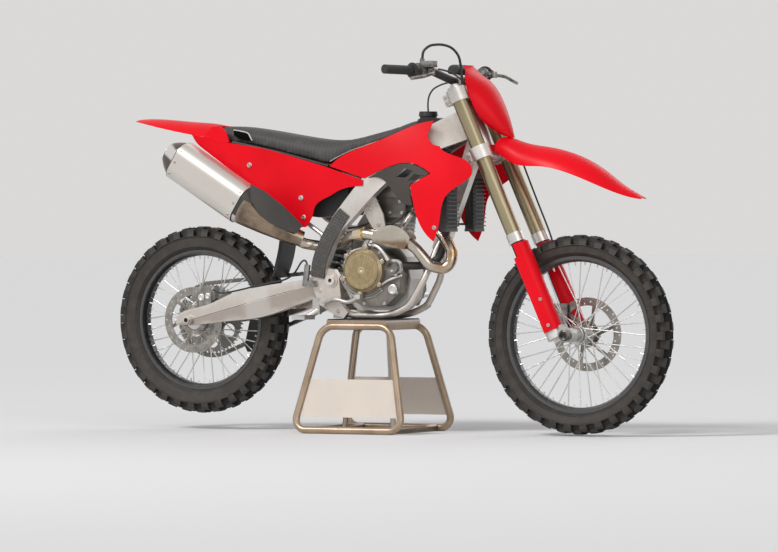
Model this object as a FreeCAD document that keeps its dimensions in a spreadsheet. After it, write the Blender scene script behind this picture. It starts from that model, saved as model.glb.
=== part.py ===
import FreeCAD, Part
import math
import os

import Sketcher
from FreeCAD import Placement, Rotation, Vector

# Motocross bike parked on its paddock stand. Millimetres, +X forward, +Y left, +Z up.
# The origin is on the floor under the middle of the bike, where the stand's feet rest.

doc = FreeCAD.newDocument("MotocrossBike")
sheet = doc.addObject("Spreadsheet::Sheet", "Sizes")

driving = {
    # wheels
    "front_axle_x": 738,
    "front_axle_z": 350,
    "rear_axle_x": -750,
    "rear_axle_z": 392,
    "front_tyre_height": 94,
    "rear_tyre_height": 105,
    "front_tyre_width": 90,
    "rear_tyre_width": 100,
    "front_rim_radius": 252,
    "rear_rim_radius": 229,
    "knob_rows": 34,
    "knob_slot_share": 0.5,
    "rim_depth": 20,
    "rim_wall": 4,
    "tyre_seat": 0.4,
    "front_rim_width": 50,
    "rear_rim_width": 62,
    "spoke_count": 36,
    "spoke_radius": 2,
    "front_axle_radius": 12,
    "rear_axle_radius": 12.5,
    "axle_bore_radius": 8,
    "axle_clearance": 0.6,
    "front_hub_flange_radius": 34,
    "rear_hub_flange_radius": 44,
    "front_disc_radius": 128,
    "rear_disc_radius": 117,
    "disc_thickness": 4,
    "front_disc_y": 55,
    "rear_disc_y": 75,
    "sprocket_radius": 124,
    "sprocket_y": 60,
    "sprocket_thickness": 7,
    "chain_pitch": 15.875,
    "chain_notch": 3,
    # steering
    "rake": 24.2,
    "head_x": 324,
    "head_z": 1105,
    "fork_offset": 22,
    "fork_spread": 98,
    "fork_tube_radius": 27,
    "fork_slider_radius": 24,
    "fork_top": 103,
    "fork_collar_bottom": -489,
    "upper_clamp_low": 46,
    "upper_clamp_high": 94,
    "lower_clamp_low": -172,
    "lower_clamp_high": -126,
    "clamp_wall": 9,
    "stem_radius": 14.5,
    "stem_bore_radius": 6,
    "stem_clearance": 0.5,
    "headstock_radius": 33,
    "clamp_gap": 6,
    "bar_x": 289,
    "bar_z": 1229,
    "bar_radius": 14,
    "bar_half_width": 410,
    "grip_radius": 16,
    "grip_length": 132,
    "grip_end": 3,
    "bar_straight": 220,
    "perch_inset": 52,
    "housing_inset": 32,
    # frame and swingarm
    "pivot_x": -176,
    "pivot_z": 535,
    "pivot_radius": 11,
    "pivot_bore_radius": 7,
    "plate_inner_y": 86,
    "plate_outer_y": 112,
    "rail_y": 75,
    "rail_radius": 12,
    "stand_height": 400,
    "shell_wall": 3,
    "seat_gap": 0.3,
    "muffler_y": 165,
    "muffler_length": 305,
    "muffler_width": 120,
    "muffler_height": 142,
    "header_radius": 20,
    "clutch_radius": 76,
    # stand
    "stand_x": -68,
    "stand_tube_radius": 13,
    "stand_top_half": 134,
    "stand_foot_half": 215,
    "stand_top_y": 130,
    "stand_foot_y": 200,
    "stand_bend": 55,
    "stand_plate": 8,
    "stand_mat": 4,
}

for row, (alias, value) in enumerate(driving.items(), start=1):
    sheet.set(f"A{row}", alias)
    sheet.set(f"B{row}", str(value))
    sheet.setAlias(f"B{row}", alias)
doc.recompute()

sub_parts = []


def dim(alias):
    return float(sheet.get(alias))


def keep(label, item):
    item.Label = label
    sub_parts.append(item)
    return item


def feature(label, shape):
    item = doc.addObject("Part::Feature", label)
    item.Shape = shape
    return keep(label, item)


# Shapes shared by several sub-parts

def bent_path(points, bends):
    """Straight runs joined by arcs; bends is one radius for all corners or one for each."""
    corners = [Vector(*point) for point in points]
    if not isinstance(bends, (list, tuple)):
        bends = [bends] * (len(corners) - 2)
    edges = []
    start = corners[0]
    for before, corner, after, radius in zip(corners, corners[1:], corners[2:], bends):
        inward = (before - corner).normalize()
        outward = (after - corner).normalize()
        turn = math.pi - inward.getAngle(outward)
        reach = radius * math.tan(turn / 2)
        first = corner + inward * reach
        last = corner + outward * reach
        bisector = (inward + outward).normalize()
        middle = corner + bisector * (radius / math.cos(turn / 2) - radius)
        edges.append(Part.LineSegment(start, first).toShape())
        edges.append(Part.Arc(first, middle, last).toShape())
        start = last
    edges.append(Part.LineSegment(start, corners[-1]).toShape())
    return Part.Wire(edges)


def tube(points, radius, bends=40.0):
    path = bent_path(points, bends)
    heading = Vector(*points[1]) - Vector(*points[0])
    ring = Part.Wire(Part.makeCircle(radius, Vector(*points[0]), heading))
    return path.makePipeShell([ring], True, False)


def rod(start, end, radius, end_radius=None):
    start = Vector(*start)
    run = Vector(*end) - start
    if end_radius is None:
        return Part.makeCylinder(radius, run.Length, start, run)
    return Part.makeCone(radius, end_radius, run.Length, start, run)


def box(low, high):
    low = Vector(*low)
    size = Vector(*high) - low
    return Part.makeBox(size.x, size.y, size.z, low)


def outline(runs):
    """Closed wire in the XZ plane: a run of two points is a line, a longer run a smooth curve."""
    edges = []
    for run in runs:
        points = [Vector(x, 0, z) for x, z in run]
        if len(points) == 2:
            edges.append(Part.LineSegment(points[0], points[1]).toShape())
        else:
            curve = Part.BSplineCurve()
            curve.interpolate(points)
            edges.append(curve.toShape())
    return Part.Wire(edges)


def plate(runs, y_low, y_high):
    face = Part.Face(outline(runs))
    face.translate(Vector(0, y_low, 0))
    return face.extrude(Vector(0, y_high - y_low, 0))


def polygon_plate(points, y_low, y_high):
    corners = list(points)
    runs = [[corners[i - 1], corners[i]] for i in range(len(corners))]
    return plate(runs, y_low, y_high)


def section_wire(points):
    vectors = [Vector(*point) for point in points]
    return Part.makePolygon(vectors + [vectors[0]])


def lofted(wires, degree=3):
    """Smooth solid through closed wires; a low degree keeps it from swinging between them."""
    return Part.makeLoft(wires, True, False, False, degree)


def box_loft(stations, smooth=True):
    """Bar with four-cornered sections: x, y_low, y_high, z_low, z_high at each station."""
    wires = []
    for x, y_low, y_high, z_low, z_high in stations:
        corners = [(x, y_low, z_low), (x, y_high, z_low), (x, y_high, z_high), (x, y_low, z_high)]
        wires.append(section_wire(corners))
    return lofted(wires) if smooth else Part.makeLoft(wires, True, True)


def arch_wire(x, half, crown, edge, wall):
    """Arched band across the bike, open downward, of even wall."""
    outer = Part.Arc(Vector(x, -half, edge), Vector(x, 0, crown), Vector(x, half, edge)).toShape()
    right = Part.LineSegment(Vector(x, half, edge), Vector(x, half - wall, edge)).toShape()
    inner = Part.Arc(Vector(x, half - wall, edge), Vector(x, 0, crown - wall),
                     Vector(x, wall - half, edge)).toShape()
    left = Part.LineSegment(Vector(x, wall - half, edge), Vector(x, -half, edge)).toShape()
    return Part.Wire([outer, right, inner, left])


def upright_band(x, y_low, y_middle, y_high, z_low, z_high, wall):
    """Upright bowed band on the right side, with its wall towards the middle of the bike."""
    z_middle = (z_low + z_high) / 2
    outer = Part.Arc(Vector(x, -y_low, z_low), Vector(x, -y_middle, z_middle),
                     Vector(x, -y_high, z_high)).toShape()
    top = Part.LineSegment(Vector(x, -y_high, z_high), Vector(x, wall - y_high, z_high)).toShape()
    inner = Part.Arc(Vector(x, wall - y_high, z_high), Vector(x, wall - y_middle, z_middle),
                     Vector(x, wall - y_low, z_low)).toShape()
    bottom = Part.LineSegment(Vector(x, wall - y_low, z_low), Vector(x, -y_low, z_low)).toShape()
    return Part.Wire([outer, top, inner, bottom])


def mirrored(shape):
    return shape.mirror(Vector(), Vector(0, 1, 0))


def both_sides(shape):
    return [shape, mirrored(shape)]


def separate(*shapes):
    return Part.makeCompound([solid for shape in shapes for solid in shape.Solids])


# PartDesign helpers: sketches whose points are tied to the sheet

def new_body(label):
    body = doc.addObject("PartDesign::Body", label)
    return keep(label, body)


def new_sketch(body, name, role, offset=None):
    plane = next(item for item in body.Origin.OriginFeatures if item.Role == role)
    sketch = body.newObject("Sketcher::SketchObject", name)
    sketch.AttachmentSupport = [(plane, "")]
    sketch.MapMode = "FlatFace"
    if offset:
        sketch.setExpression("AttachmentOffset.Base.z", offset)
    return sketch


def bound_outline(sketch, points):
    """Closed straight-sided outline; every point's two coordinates are expressions."""
    count = len(points)
    spots = [Vector(sheet.evalExpression(x), sheet.evalExpression(y), 0) for x, y in points]
    first = sketch.GeometryCount
    for index in range(count):
        sketch.addGeometry(Part.LineSegment(spots[index], spots[(index + 1) % count]))
    for index in range(count):
        following = first + (index + 1) % count
        sketch.addConstraint(Sketcher.Constraint("Coincident", first + index, 2, following, 1))
    for index, (x, y) in enumerate(points):
        for kind, value, expression in (("DistanceX", spots[index].x, x), ("DistanceY", spots[index].y, y)):
            place = sketch.addConstraint(Sketcher.Constraint(kind, -1, 1, first + index, 1, value))
            sketch.setExpression(f"Constraints[{place}]", expression)


def revolved_body(label, points, x, z):
    """Ring about the wheel's axle: each point is a radius and a distance along the axle."""
    body = new_body(label)
    sketch = new_sketch(body, label + "_section", "XY_Plane")
    bound_outline(sketch, points)
    turn = body.newObject("PartDesign::Revolution", label + "_turn")
    turn.Profile = sketch
    turn.ReferenceAxis = (sketch, ["V_Axis"])
    turn.Angle = 360
    sketch.Visibility = False
    body.Tip = turn
    body.setExpression("Placement.Base.x", x)
    body.setExpression("Placement.Base.z", z)
    return body


# Wheels

def tyre(end):
    """Knobbly tyre: a grooved ring out to the knobs' tips, cut across between the knobs."""
    label = end + "_tyre"
    rim_radius = f"Sizes.{end}_rim_radius"
    radius = f"{rim_radius} + Sizes.{end}_tyre_height"
    rim_width = f"Sizes.{end}_rim_width"
    width = f"Sizes.{end}_tyre_width"
    bed = f"{rim_radius} + Sizes.rim_wall"
    edge = f"{rim_radius} + Sizes.rim_depth"
    right_half = [
        (f"{bed} + Sizes.tyre_seat", f"{rim_width} * 0.18"),
        (f"{bed} + 7", f"{rim_width} / 2 - Sizes.rim_wall - 2 * Sizes.tyre_seat"),
        (f"{edge} + 2 * Sizes.tyre_seat", f"{rim_width} / 2 - Sizes.rim_wall"),
        (f"{edge} + 3 * Sizes.tyre_seat", f"{rim_width} / 2 + 1"),
        (f"{edge} + 12", f"{width} * 0.44"),
        (f"{radius} - 40", f"{width} * 0.47"),
        (f"{radius} - 36", f"{width} * 0.52"),
        (f"{radius} - 16", f"{width} * 0.49"),
        (f"{radius} - 10", f"{width} * 0.38"),
        (f"{radius} - 22", f"{width} * 0.36"),
        (f"{radius} - 19", f"{width} * 0.31"),
        (f"{radius} - 5", f"{width} * 0.31"),
        (f"{radius} - 1", f"{width} * 0.13"),
        (f"{radius} - 14", f"{width} * 0.1"),
    ]
    points = right_half + [(reach, f"-({across})") for reach, across in reversed(right_half)]
    carcass = revolved_body(label + "_carcass", points, f"Sizes.{end}_axle_x", f"Sizes.{end}_axle_z")
    sub_parts.remove(carcass)
    slots = doc.addObject("Part::Feature", label + "_slots")
    centre = Vector(dim(end + "_axle_x"), 0, dim(end + "_axle_z"))
    tips = dim(end + "_rim_radius") + dim(end + "_tyre_height")
    slots.Shape = tread_slots(tips, dim(end + "_tyre_width"), centre)
    knobbly = doc.addObject("Part::Cut", label)
    knobbly.Base = carcass
    knobbly.Tool = slots
    return keep(label, knobbly)


def tread_slots(radius, width, centre):
    """Cross slots between the knobs: those of the sides lie half a step on from the middle ones."""
    rows = dim("knob_rows")
    step = 2 * math.pi / rows
    slot = step * radius * dim("knob_slot_share")
    bands = ((-0.12, 0.12, 14, 0.0), (0.12, 0.34, 18, 0.5), (-0.34, -0.12, 18, 0.5),
             (0.34, 0.6, 35, 0.0), (-0.6, -0.34, 35, 0.0))
    cuts = []
    for row in range(int(rows)):
        for low, high, depth, lag in bands:
            cut = box((-slot / 2, low * width, radius - depth), (slot / 2, high * width, radius + 10))
            cut.Placement = Placement(centre, Rotation(Vector(0, 1, 0), math.degrees((row + lag) * step)))
            cuts.append(cut)
    return Part.makeCompound(cuts)


def rim(label, rim_radius, width, x, z):
    outer = f"{rim_radius} + Sizes.rim_depth"
    bed = f"{rim_radius} + Sizes.rim_wall"
    side = f"{width} / 2"
    points = [
        (rim_radius, f"-{width} * 0.22"),
        (rim_radius, f"{width} * 0.22"),
        (f"{rim_radius} + 8", side),
        (outer, side),
        (outer, f"{side} - Sizes.rim_wall / 2"),
        (f"{bed} + 6", f"{side} - Sizes.rim_wall"),
        (bed, f"{width} * 0.2"),
        (bed, f"-{width} * 0.2"),
        (f"{bed} + 6", f"Sizes.rim_wall - {side}"),
        (outer, f"Sizes.rim_wall / 2 - {side}"),
        (outer, f"-{side}"),
        (f"{rim_radius} + 8", f"-{side}"),
    ]
    return revolved_body(label, points, x, z)


def hub_and_spokes(label, centre, rim_radius, flange_radius, axle_radius, right_end, left_end, flange_y):
    """Hub with two spoke flanges, and laced spokes that end on the rim's inner face."""
    core = flange_radius * 0.66
    turned = [
        rod((0, right_end, 0), (0, left_end, 0), core),
        rod((0, right_end, 0), (0, right_end + 9, 0), core + 8),
        rod((0, left_end - 9, 0), (0, left_end, 0), core + 8),
    ]
    turned += [rod((0, side * flange_y - 3, 0), (0, side * flange_y + 3, 0), flange_radius)
               for side in (-1, 1)]
    count = int(dim("spoke_count"))
    lacing = flange_radius - 6
    spokes = []
    for index in range(count):
        side = 1 if index % 2 else -1
        lean = 1 if index % 4 < 2 else -1
        at_rim = 2 * math.pi * index / count
        at_hub = at_rim + lean * math.radians(58)
        start = (lacing * math.cos(at_hub), side * flange_y, lacing * math.sin(at_hub))
        reach = rim_radius + 3
        end = (reach * math.cos(at_rim), side * 5, reach * math.sin(at_rim))
        spokes.append(rod(start, end, dim("spoke_radius")))
    bore = rod((0, right_end - 5, 0), (0, left_end + 5, 0), axle_radius + dim("axle_clearance"))
    inside = rod((0, -60, 0), (0, 60, 0), rim_radius)
    hub = turned[0].multiFuse(turned[1:] + spokes)
    wide = rod((0, right_end - 1, 0), (0, left_end + 1, 0), flange_radius + 20)
    wheel = hub.common(inside.fuse(wide)).cut(bore)
    wheel.translate(centre)
    return feature(label, wheel)


def brake_disc(label, centre, radius, hub_radius, y_low):
    thickness = dim("disc_thickness")
    ring_width = 28
    ring = rod((0, y_low, 0), (0, y_low + thickness, 0), radius)
    ring = ring.cut(rod((0, y_low - 1, 0), (0, y_low + thickness + 1, 0), radius - ring_width))
    inner = rod((0, y_low, 0), (0, y_low + thickness, 0), hub_radius + 10)
    arms = []
    for index in range(6):
        turn = math.radians(60 * index)
        lean = turn + math.radians(16)
        start = (hub_radius * math.cos(turn), y_low + thickness / 2, hub_radius * math.sin(turn))
        reach = radius - ring_width + 6
        end = (reach * math.cos(lean), y_low + thickness / 2, reach * math.sin(lean))
        arm = Part.makeBox(Vector(*end).distanceToPoint(Vector(*start)), thickness, 12)
        arm.translate(Vector(0, -thickness / 2, -6))
        along = Vector(*end) - Vector(*start)
        arm.Placement = Placement(Vector(*start), Rotation(Vector(1, 0, 0), along)).multiply(arm.Placement)
        arms.append(arm)
    disc = ring.multiFuse([inner] + arms)
    disc = disc.cut(rod((0, y_low - 1, 0), (0, y_low + thickness + 1, 0), hub_radius - 8))
    holes = []
    for index in range(30):
        turn = math.radians(12 * index)
        track = radius - 7 - 7 * (index % 3)
        spot = Vector(track * math.cos(turn), y_low - 1, track * math.sin(turn))
        holes.append(Part.makeCylinder(3, thickness + 2, spot, Vector(0, 1, 0)))
    disc = disc.cut(Part.makeCompound(holes))
    disc.translate(centre)
    return feature(label, disc)


def sprocket(label, centre):
    teeth = 48
    radius = dim("sprocket_radius")
    low = dim("sprocket_y")
    high = low + dim("sprocket_thickness")
    corners = []
    for index in range(teeth):
        for share, reach in ((-0.25, radius - 8), (-0.1, radius), (0.1, radius), (0.25, radius - 8)):
            turn = 2 * math.pi * (index + share) / teeth
            corners.append((reach * math.cos(turn), reach * math.sin(turn)))
    plate_shape = polygon_plate(corners, low, high)
    cuts = [rod((0, low - 1, 0), (0, high + 1, 0), dim("rear_hub_flange_radius") * 0.66 - 6)]
    for index in range(6):
        turn = math.radians(60 * index + 30)
        spot = (78 * math.cos(turn), 78 * math.sin(turn))
        cuts.append(rod((spot[0], low - 1, spot[1]), (spot[0], high + 1, spot[1]), 24))
    ring = plate_shape.cut(Part.makeCompound(cuts))
    ring.translate(centre)
    return feature(label, ring)


front_axle = Vector(dim("front_axle_x"), 0, dim("front_axle_z"))
rear_axle = Vector(dim("rear_axle_x"), 0, dim("rear_axle_z"))

tyre("front")
tyre("rear")
rim("front_rim", "Sizes.front_rim_radius", "Sizes.front_rim_width",
    "Sizes.front_axle_x", "Sizes.front_axle_z")
rim("rear_rim", "Sizes.rear_rim_radius", "Sizes.rear_rim_width",
    "Sizes.rear_axle_x", "Sizes.rear_axle_z")
hub_and_spokes("front_hub", front_axle, dim("front_rim_radius"), dim("front_hub_flange_radius"),
               dim("front_axle_radius"), -48, dim("front_disc_y"), 30)
hub_and_spokes("rear_hub", rear_axle, dim("rear_rim_radius"), dim("rear_hub_flange_radius"),
               dim("rear_axle_radius"), -dim("rear_disc_y"), dim("sprocket_y"), 32)
brake_disc("front_disc", front_axle, dim("front_disc_radius"), 36, dim("front_disc_y"))
brake_disc("rear_disc", rear_axle, dim("rear_disc_radius"), 42,
           -dim("rear_disc_y") - dim("disc_thickness"))
sprocket("rear_sprocket", rear_axle)


# Steering: modelled upright about the steering axis, then leaned back by the rake

head = Vector(dim("head_x"), 0, dim("head_z"))
steering_lean = Placement(head, Rotation(Vector(0, 1, 0), -dim("rake")))
axle_local = steering_lean.inverse().multVec(front_axle)


def leaned(shape):
    result = shape.copy()
    result.Placement = steering_lean.multiply(result.Placement)
    return result


def fork_spots():
    return [Vector(dim("fork_offset"), side * dim("fork_spread"), 0) for side in (-1, 1)]


def triple_clamps():
    tube_radius = dim("fork_tube_radius")
    ring_radius = tube_radius + dim("clamp_wall")
    levels = (("upper_clamp_low", "upper_clamp_high"), ("lower_clamp_low", "lower_clamp_high"))
    pieces = []
    for low_name, high_name in levels:
        low = dim(low_name)
        high = dim(high_name)
        for spot in fork_spots():
            pieces.append(rod((spot.x, spot.y, low), (spot.x, spot.y, high), ring_radius))
            ear = box((spot.x - ring_radius - 16, spot.y - 13, low + 4), (spot.x, spot.y + 13, high - 4))
            pieces.append(ear)
        reach = dim("fork_spread") - 20
        bridge = Part.makePolygon([
            Vector(-34, -26, low + 8), Vector(-34, 26, low + 8), Vector(6, reach, low + 8),
            Vector(44, reach, low + 8), Vector(30, 0, low + 8), Vector(44, -reach, low + 8),
            Vector(6, -reach, low + 8), Vector(-34, -26, low + 8)])
        pieces.append(Part.Face(bridge).extrude(Vector(0, 0, high - low - 12)))
    stem = dim("stem_radius")
    pieces.append(rod((0, 0, dim("lower_clamp_low")), (0, 0, dim("upper_clamp_high") + 12), stem))
    pieces.append(rod((0, 0, dim("lower_clamp_high") - 4), (0, 0, dim("lower_clamp_high") + 4), 26))
    pieces.append(rod((0, 0, dim("upper_clamp_low") - 4), (0, 0, dim("upper_clamp_low") + 4), 26))
    clamps = leaned(pieces[0].multiFuse(pieces[1:]))
    risers = []
    bar = Vector(dim("bar_x"), 0, dim("bar_z"))
    for side in (-1, 1):
        y = side * 52
        base = steering_lean.multVec(Vector(8, y, dim("upper_clamp_high") - 14))
        risers.append(rod(base, (bar.x, y, bar.z), 17))
        risers.append(rod((bar.x, y - 16, bar.z), (bar.x, y + 16, bar.z), dim("bar_radius") + 10))
    whole = clamps.multiFuse(risers)
    bores = [leaned(rod((s.x, s.y, -220), (s.x, s.y, 160), tube_radius)) for s in fork_spots()]
    bores.append(rod((bar.x, -80, bar.z), (bar.x, 80, bar.z), dim("bar_radius")))
    bores.append(leaned(rod((0, 0, 60), (0, 0, 130), dim("stem_bore_radius"))))
    return feature("triple_clamps", whole.cut(Part.makeCompound(bores)))


def fork_tubes():
    legs = []
    for spot in fork_spots():
        radius = dim("fork_tube_radius")
        bottom = dim("fork_collar_bottom")
        top = dim("fork_top")
        leg = rod((spot.x, spot.y, bottom), (spot.x, spot.y, top), radius)
        collar = rod((spot.x, spot.y, bottom), (spot.x, spot.y, bottom + 34), radius + 2.5)
        cap = rod((spot.x, spot.y, top), (spot.x, spot.y, top + 8), 15)
        leg = leg.multiFuse([collar, cap])
        legs.append(leaned(leg.cut(rod((spot.x, spot.y, bottom - 1), (spot.x, spot.y, bottom + 60),
                                       dim("fork_slider_radius")))))
    return feature("fork_tubes", separate(*legs))


def fork_lowers():
    pieces = []
    bottom = dim("fork_collar_bottom")
    for spot in fork_spots():
        pieces.append(rod((spot.x, spot.y, -800), (spot.x, spot.y, bottom + 60), dim("fork_slider_radius")))
        pieces.append(rod((spot.x, spot.y, -850), (spot.x, spot.y, -745), dim("fork_slider_radius") + 6))
        inner = spot.y - 25 if spot.y > 0 else spot.y - 18
        lug_low = (spot.x - 6, inner, axle_local.z - 8)
        lug_high = (axle_local.x, inner + 43, axle_local.z + 42)
        pieces.append(box(lug_low, lug_high))
        pieces.append(rod((axle_local.x, inner, axle_local.z), (axle_local.x, inner + 43, axle_local.z), 25))
    legs = leaned(pieces[0].multiFuse(pieces[1:]))
    centre = front_axle
    radius = dim("front_axle_radius")
    axle = rod(centre - Vector(0, 124, 0), centre + Vector(0, 124, 0), radius)
    right_spacer = rod(centre - Vector(0, 80, 0), centre - Vector(0, 49, 0), radius + 6)
    left_spacer = rod(centre + Vector(0, dim("front_disc_y") + 5, 0), centre + Vector(0, 75, 0), radius + 6)
    nut = rod(centre + Vector(0, 114, 0), centre + Vector(0, 124, 0), 17)
    whole = legs.multiFuse([axle, right_spacer, left_spacer, nut])
    bore = rod(centre - Vector(0, 130, 0), centre + Vector(0, 130, 0), dim("axle_bore_radius"))
    return feature("fork_lowers", whole.cut(bore))


def cleared(shape, *neighbours):
    """Shape with its neighbours' room taken out, so that the faces meet and nothing overlaps."""
    for neighbour in neighbours:
        shape = shape.cut(neighbour)
    return max(shape.Solids, key=lambda solid: solid.Volume)


def fork_guards(lowers):
    """Bowed plastic shield in front of each slider, from the collar down to the axle lug."""
    wall = dim("shell_wall")
    radius = dim("fork_tube_radius") + 7
    shields = []
    for spot in fork_spots():
        centre = Vector(spot.x, spot.y, 0)
        shell = rod(centre + Vector(0, 0, -822), centre + Vector(0, 0, -462), radius + wall)
        shell = shell.cut(rod(centre + Vector(0, 0, -823), centre + Vector(0, 0, -461), radius))
        outward = 1 if spot.y > 0 else -1
        front = box((spot.x - 4, spot.y - 60, -822), (spot.x + 60, spot.y + 60, -495))
        flank_low = min(spot.y, spot.y + outward * 60)
        flank = box((spot.x - 22, flank_low, -822), (spot.x + 60, flank_low + 60, -540))
        shell = shell.common(front.fuse(flank))
        shields.append(cleared(leaned(shell), lowers))
    return feature("fork_guards", separate(*shields))


def bar_corners():
    """Centre line of the left half of the bar: clamp, rise, and the line the grip lies on."""
    x = dim("bar_x")
    z = dim("bar_z")
    tip = dim("bar_half_width")
    return [Vector(x, 84, z), Vector(x - 27, tip - dim("bar_straight"), z + 32), Vector(x - 99, tip, z + 36)]


def bar_point(reach):
    """Point on the straight under the grip at a distance from the middle of the bike."""
    inner, outer = bar_corners()[1:]
    share = (reach - inner.y) / (outer.y - inner.y)
    return inner + (outer - inner) * share


def handlebar():
    left = bar_corners()
    left[2] = bar_point(dim("bar_half_width") - dim("grip_end"))
    right = [Vector(point.x, -point.y, point.z) for point in reversed(left)]
    bar = tube(right + left, dim("bar_radius"), [90, 60, 60, 90])
    return feature("handlebar", bar)


clamps_item = triple_clamps()
fork_tubes()
lowers_item = fork_lowers()
guards_item = fork_guards(lowers_item.Shape)
handlebar()


def grips():
    """Rubber grips with their inner flanges, closed at the bar's end."""
    tip = bar_point(dim("bar_half_width"))
    inward = (bar_point(0) - tip).normalize()
    flange = tip + inward * dim("grip_length")
    grip = rod(tip, flange, dim("grip_radius"))
    grip = grip.fuse(rod(flange, flange + inward * 5, dim("grip_radius") + 11))
    bar_end = bar_point(dim("bar_half_width") - dim("grip_end"))
    bore = rod(bar_end, flange + inward * 8, dim("bar_radius"))
    return feature("grips", separate(*both_sides(grip.cut(bore))))


def bar_pad():
    """Foam pad over the middle of the bar and its clamps."""
    x = dim("bar_x")
    z = dim("bar_z")
    low = z + dim("bar_radius") + 10 + dim("seat_gap")
    profile = [[(x - 32, low), (x + 11, low)],
               [(x + 11, low), (x + 12, low + 15), (x + 6, low + 29), (x - 10, low + 34),
                (x - 26, low + 29), (x - 33, low + 15), (x - 32, low)]]
    return feature("bar_pad", plate(profile, -64, 64))


spout_reach = Vector(10, 2, 42)


def hand_controls():
    """Front brake perch and lever, clutch perch and lever, and the throttle housing."""
    clear = dim("bar_radius")
    grip_start = dim("bar_half_width") - dim("grip_length")
    perch = grip_start - dim("perch_inset")
    solids = []
    for side in (-1, 1):
        centre = bar_point(perch)
        along = (bar_point(perch + 20) - centre).normalize()
        clamp = rod(centre - along * 11, centre + along * 11, clear + 7)
        ahead = Vector(0.93, 0.28, -0.1)
        arm_end = centre + Vector(36, 16, -4)
        clamp = clamp.fuse(rod(centre + ahead * 8, arm_end, 9))
        clamp = clamp.fuse(rod(arm_end - Vector(0, 0, 11), arm_end + Vector(0, 0, 11), 12))
        blade = tube([tuple(arm_end), tuple(arm_end + Vector(26, 40, -6)),
                      tuple(arm_end + Vector(22, 100, -18)), tuple(arm_end + Vector(8, 168, -26))],
                     6, [30, 80])
        clamp = clamp.fuse(blade)
        if side < 0:
            reservoir = box(centre + Vector(4, -12, 12), centre + Vector(44, 34, 34))
            clamp = clamp.fuse(reservoir)
            clamp = clamp.fuse(rod(centre + Vector(20, 0, 6), arm_end + Vector(0, -10, 4), 11))
        clamp = clamp.cut(rod(centre - along * 60, centre + along * 60, clear))
        solids.append(clamp if side > 0 else mirrored(clamp))
    housing_at = bar_point(grip_start - dim("housing_inset"))
    along = (bar_point(dim("bar_half_width")) - housing_at).normalize()
    housing = rod(housing_at - along * 9, housing_at + along * 13, clear + 13)
    spout = rod(housing_at + Vector(6, 0, 16), housing_at + spout_reach, 8)
    housing = housing.fuse(spout).cut(rod(housing_at - along * 60, housing_at + along * 60, clear))
    solids.append(mirrored(housing))
    return feature("hand_controls", separate(*solids))


def throttle_cables():
    """Push and pull cables from the throttle housing, over the bar to behind the number plate."""
    grip_start = dim("bar_half_width") - dim("grip_length")
    spout = bar_point(grip_start - dim("housing_inset")) + spout_reach
    start = Vector(spout.x, -spout.y, spout.z)
    steps = [(0.1, -0.05, 0.6), (4, -2, 26), (20, 18, 46), (46, 58, 50), (62, 104, 40), (70, 142, 12),
             (66, 166, -26), (65, 174, -66), (66, 176, -84)]
    route = [tuple(start + Vector(*step)) for step in steps]
    return feature("throttle_cables", tube(route, 4.5, cord_radii(route)))


def cord_radii(route):
    corners = [Vector(*point) for point in route]
    radii = []
    for before, corner, after in zip(corners, corners[1:], corners[2:]):
        shorter = min((before - corner).Length, (after - corner).Length)
        turn = math.pi - (before - corner).getAngle(after - corner)
        radii.append(0.45 * shorter / math.tan(turn / 2))
    return radii


def number_plate():
    """Thin bowed plate in front of the bar, wide at the shoulders and pointed at its foot."""
    wall = dim("shell_wall")
    bands = []
    stations = ((1285, 34, 308, 319), (1247, 70, 330, 357), (1215, 92, 344, 397), (1182, 98, 358, 420),
                (1105, 78, 388, 458), (1064, 48, 418, 474), (1031.9, 14, 474, 486))
    for z, half, edge, middle in stations:
        outer = Part.Arc(Vector(edge, -half, z), Vector(middle, 0, z), Vector(edge, half, z)).toShape()
        left = Part.LineSegment(Vector(edge, half, z), Vector(edge - wall, half - wall, z)).toShape()
        inner = Part.Arc(Vector(edge - wall, half - wall, z), Vector(middle - wall, 0, z),
                         Vector(edge - wall, wall - half, z)).toShape()
        right = Part.LineSegment(Vector(edge - wall, wall - half, z), Vector(edge, -half, z)).toShape()
        bands.append(Part.Wire([outer, left, inner, right]))
    return feature("number_plate", lofted(bands))


def front_fender(clamps):
    """Long thin mudguard held under the lower clamp by its block."""
    wall = dim("shell_wall")
    stations = ((432, 50, 1030, 985), (500, 66, 1024, 948), (575, 82, 1005, 932), (650, 88, 993, 928),
                (716, 86, 975, 912), (800, 76, 937, 880), (870, 62, 889, 850), (930, 46, 850, 828),
                (978, 26, 824, 817))
    bands = [arch_wire(x, half, crown, edge, wall) for x, half, crown, edge in stations]
    shell = lofted(bands)
    block = cleared(box((404, -30, 984), (462, 30, 1008)), clamps)
    web = box((440, -30, 1000), (462, 30, 1025))
    return feature("front_fender", shell.multiFuse([block, web]))


def front_caliper(lowers, guards):
    """Two-piston caliper behind the left leg, with a slot for the disc and a bracket to the lug."""
    low = dim("front_disc_y") - 2
    high = dim("front_disc_y") + dim("disc_thickness") + 2
    centre = front_axle + Vector(-102, 0, 66)
    block = box(centre + Vector(-26, low - 14, -44), centre + Vector(30, high + 16, 40))
    slot = rod(front_axle + Vector(0, low, 0), front_axle + Vector(0, high, 0), dim("front_disc_radius") + 5)
    return feature("front_caliper", cleared(block.cut(slot), lowers, guards))


grips()
bar_pad()
hand_controls()
throttle_cables()
number_plate()
front_fender(clamps_item.Shape)
front_caliper(lowers_item.Shape, guards_item.Shape)


# Frame, engine and running gear

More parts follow.
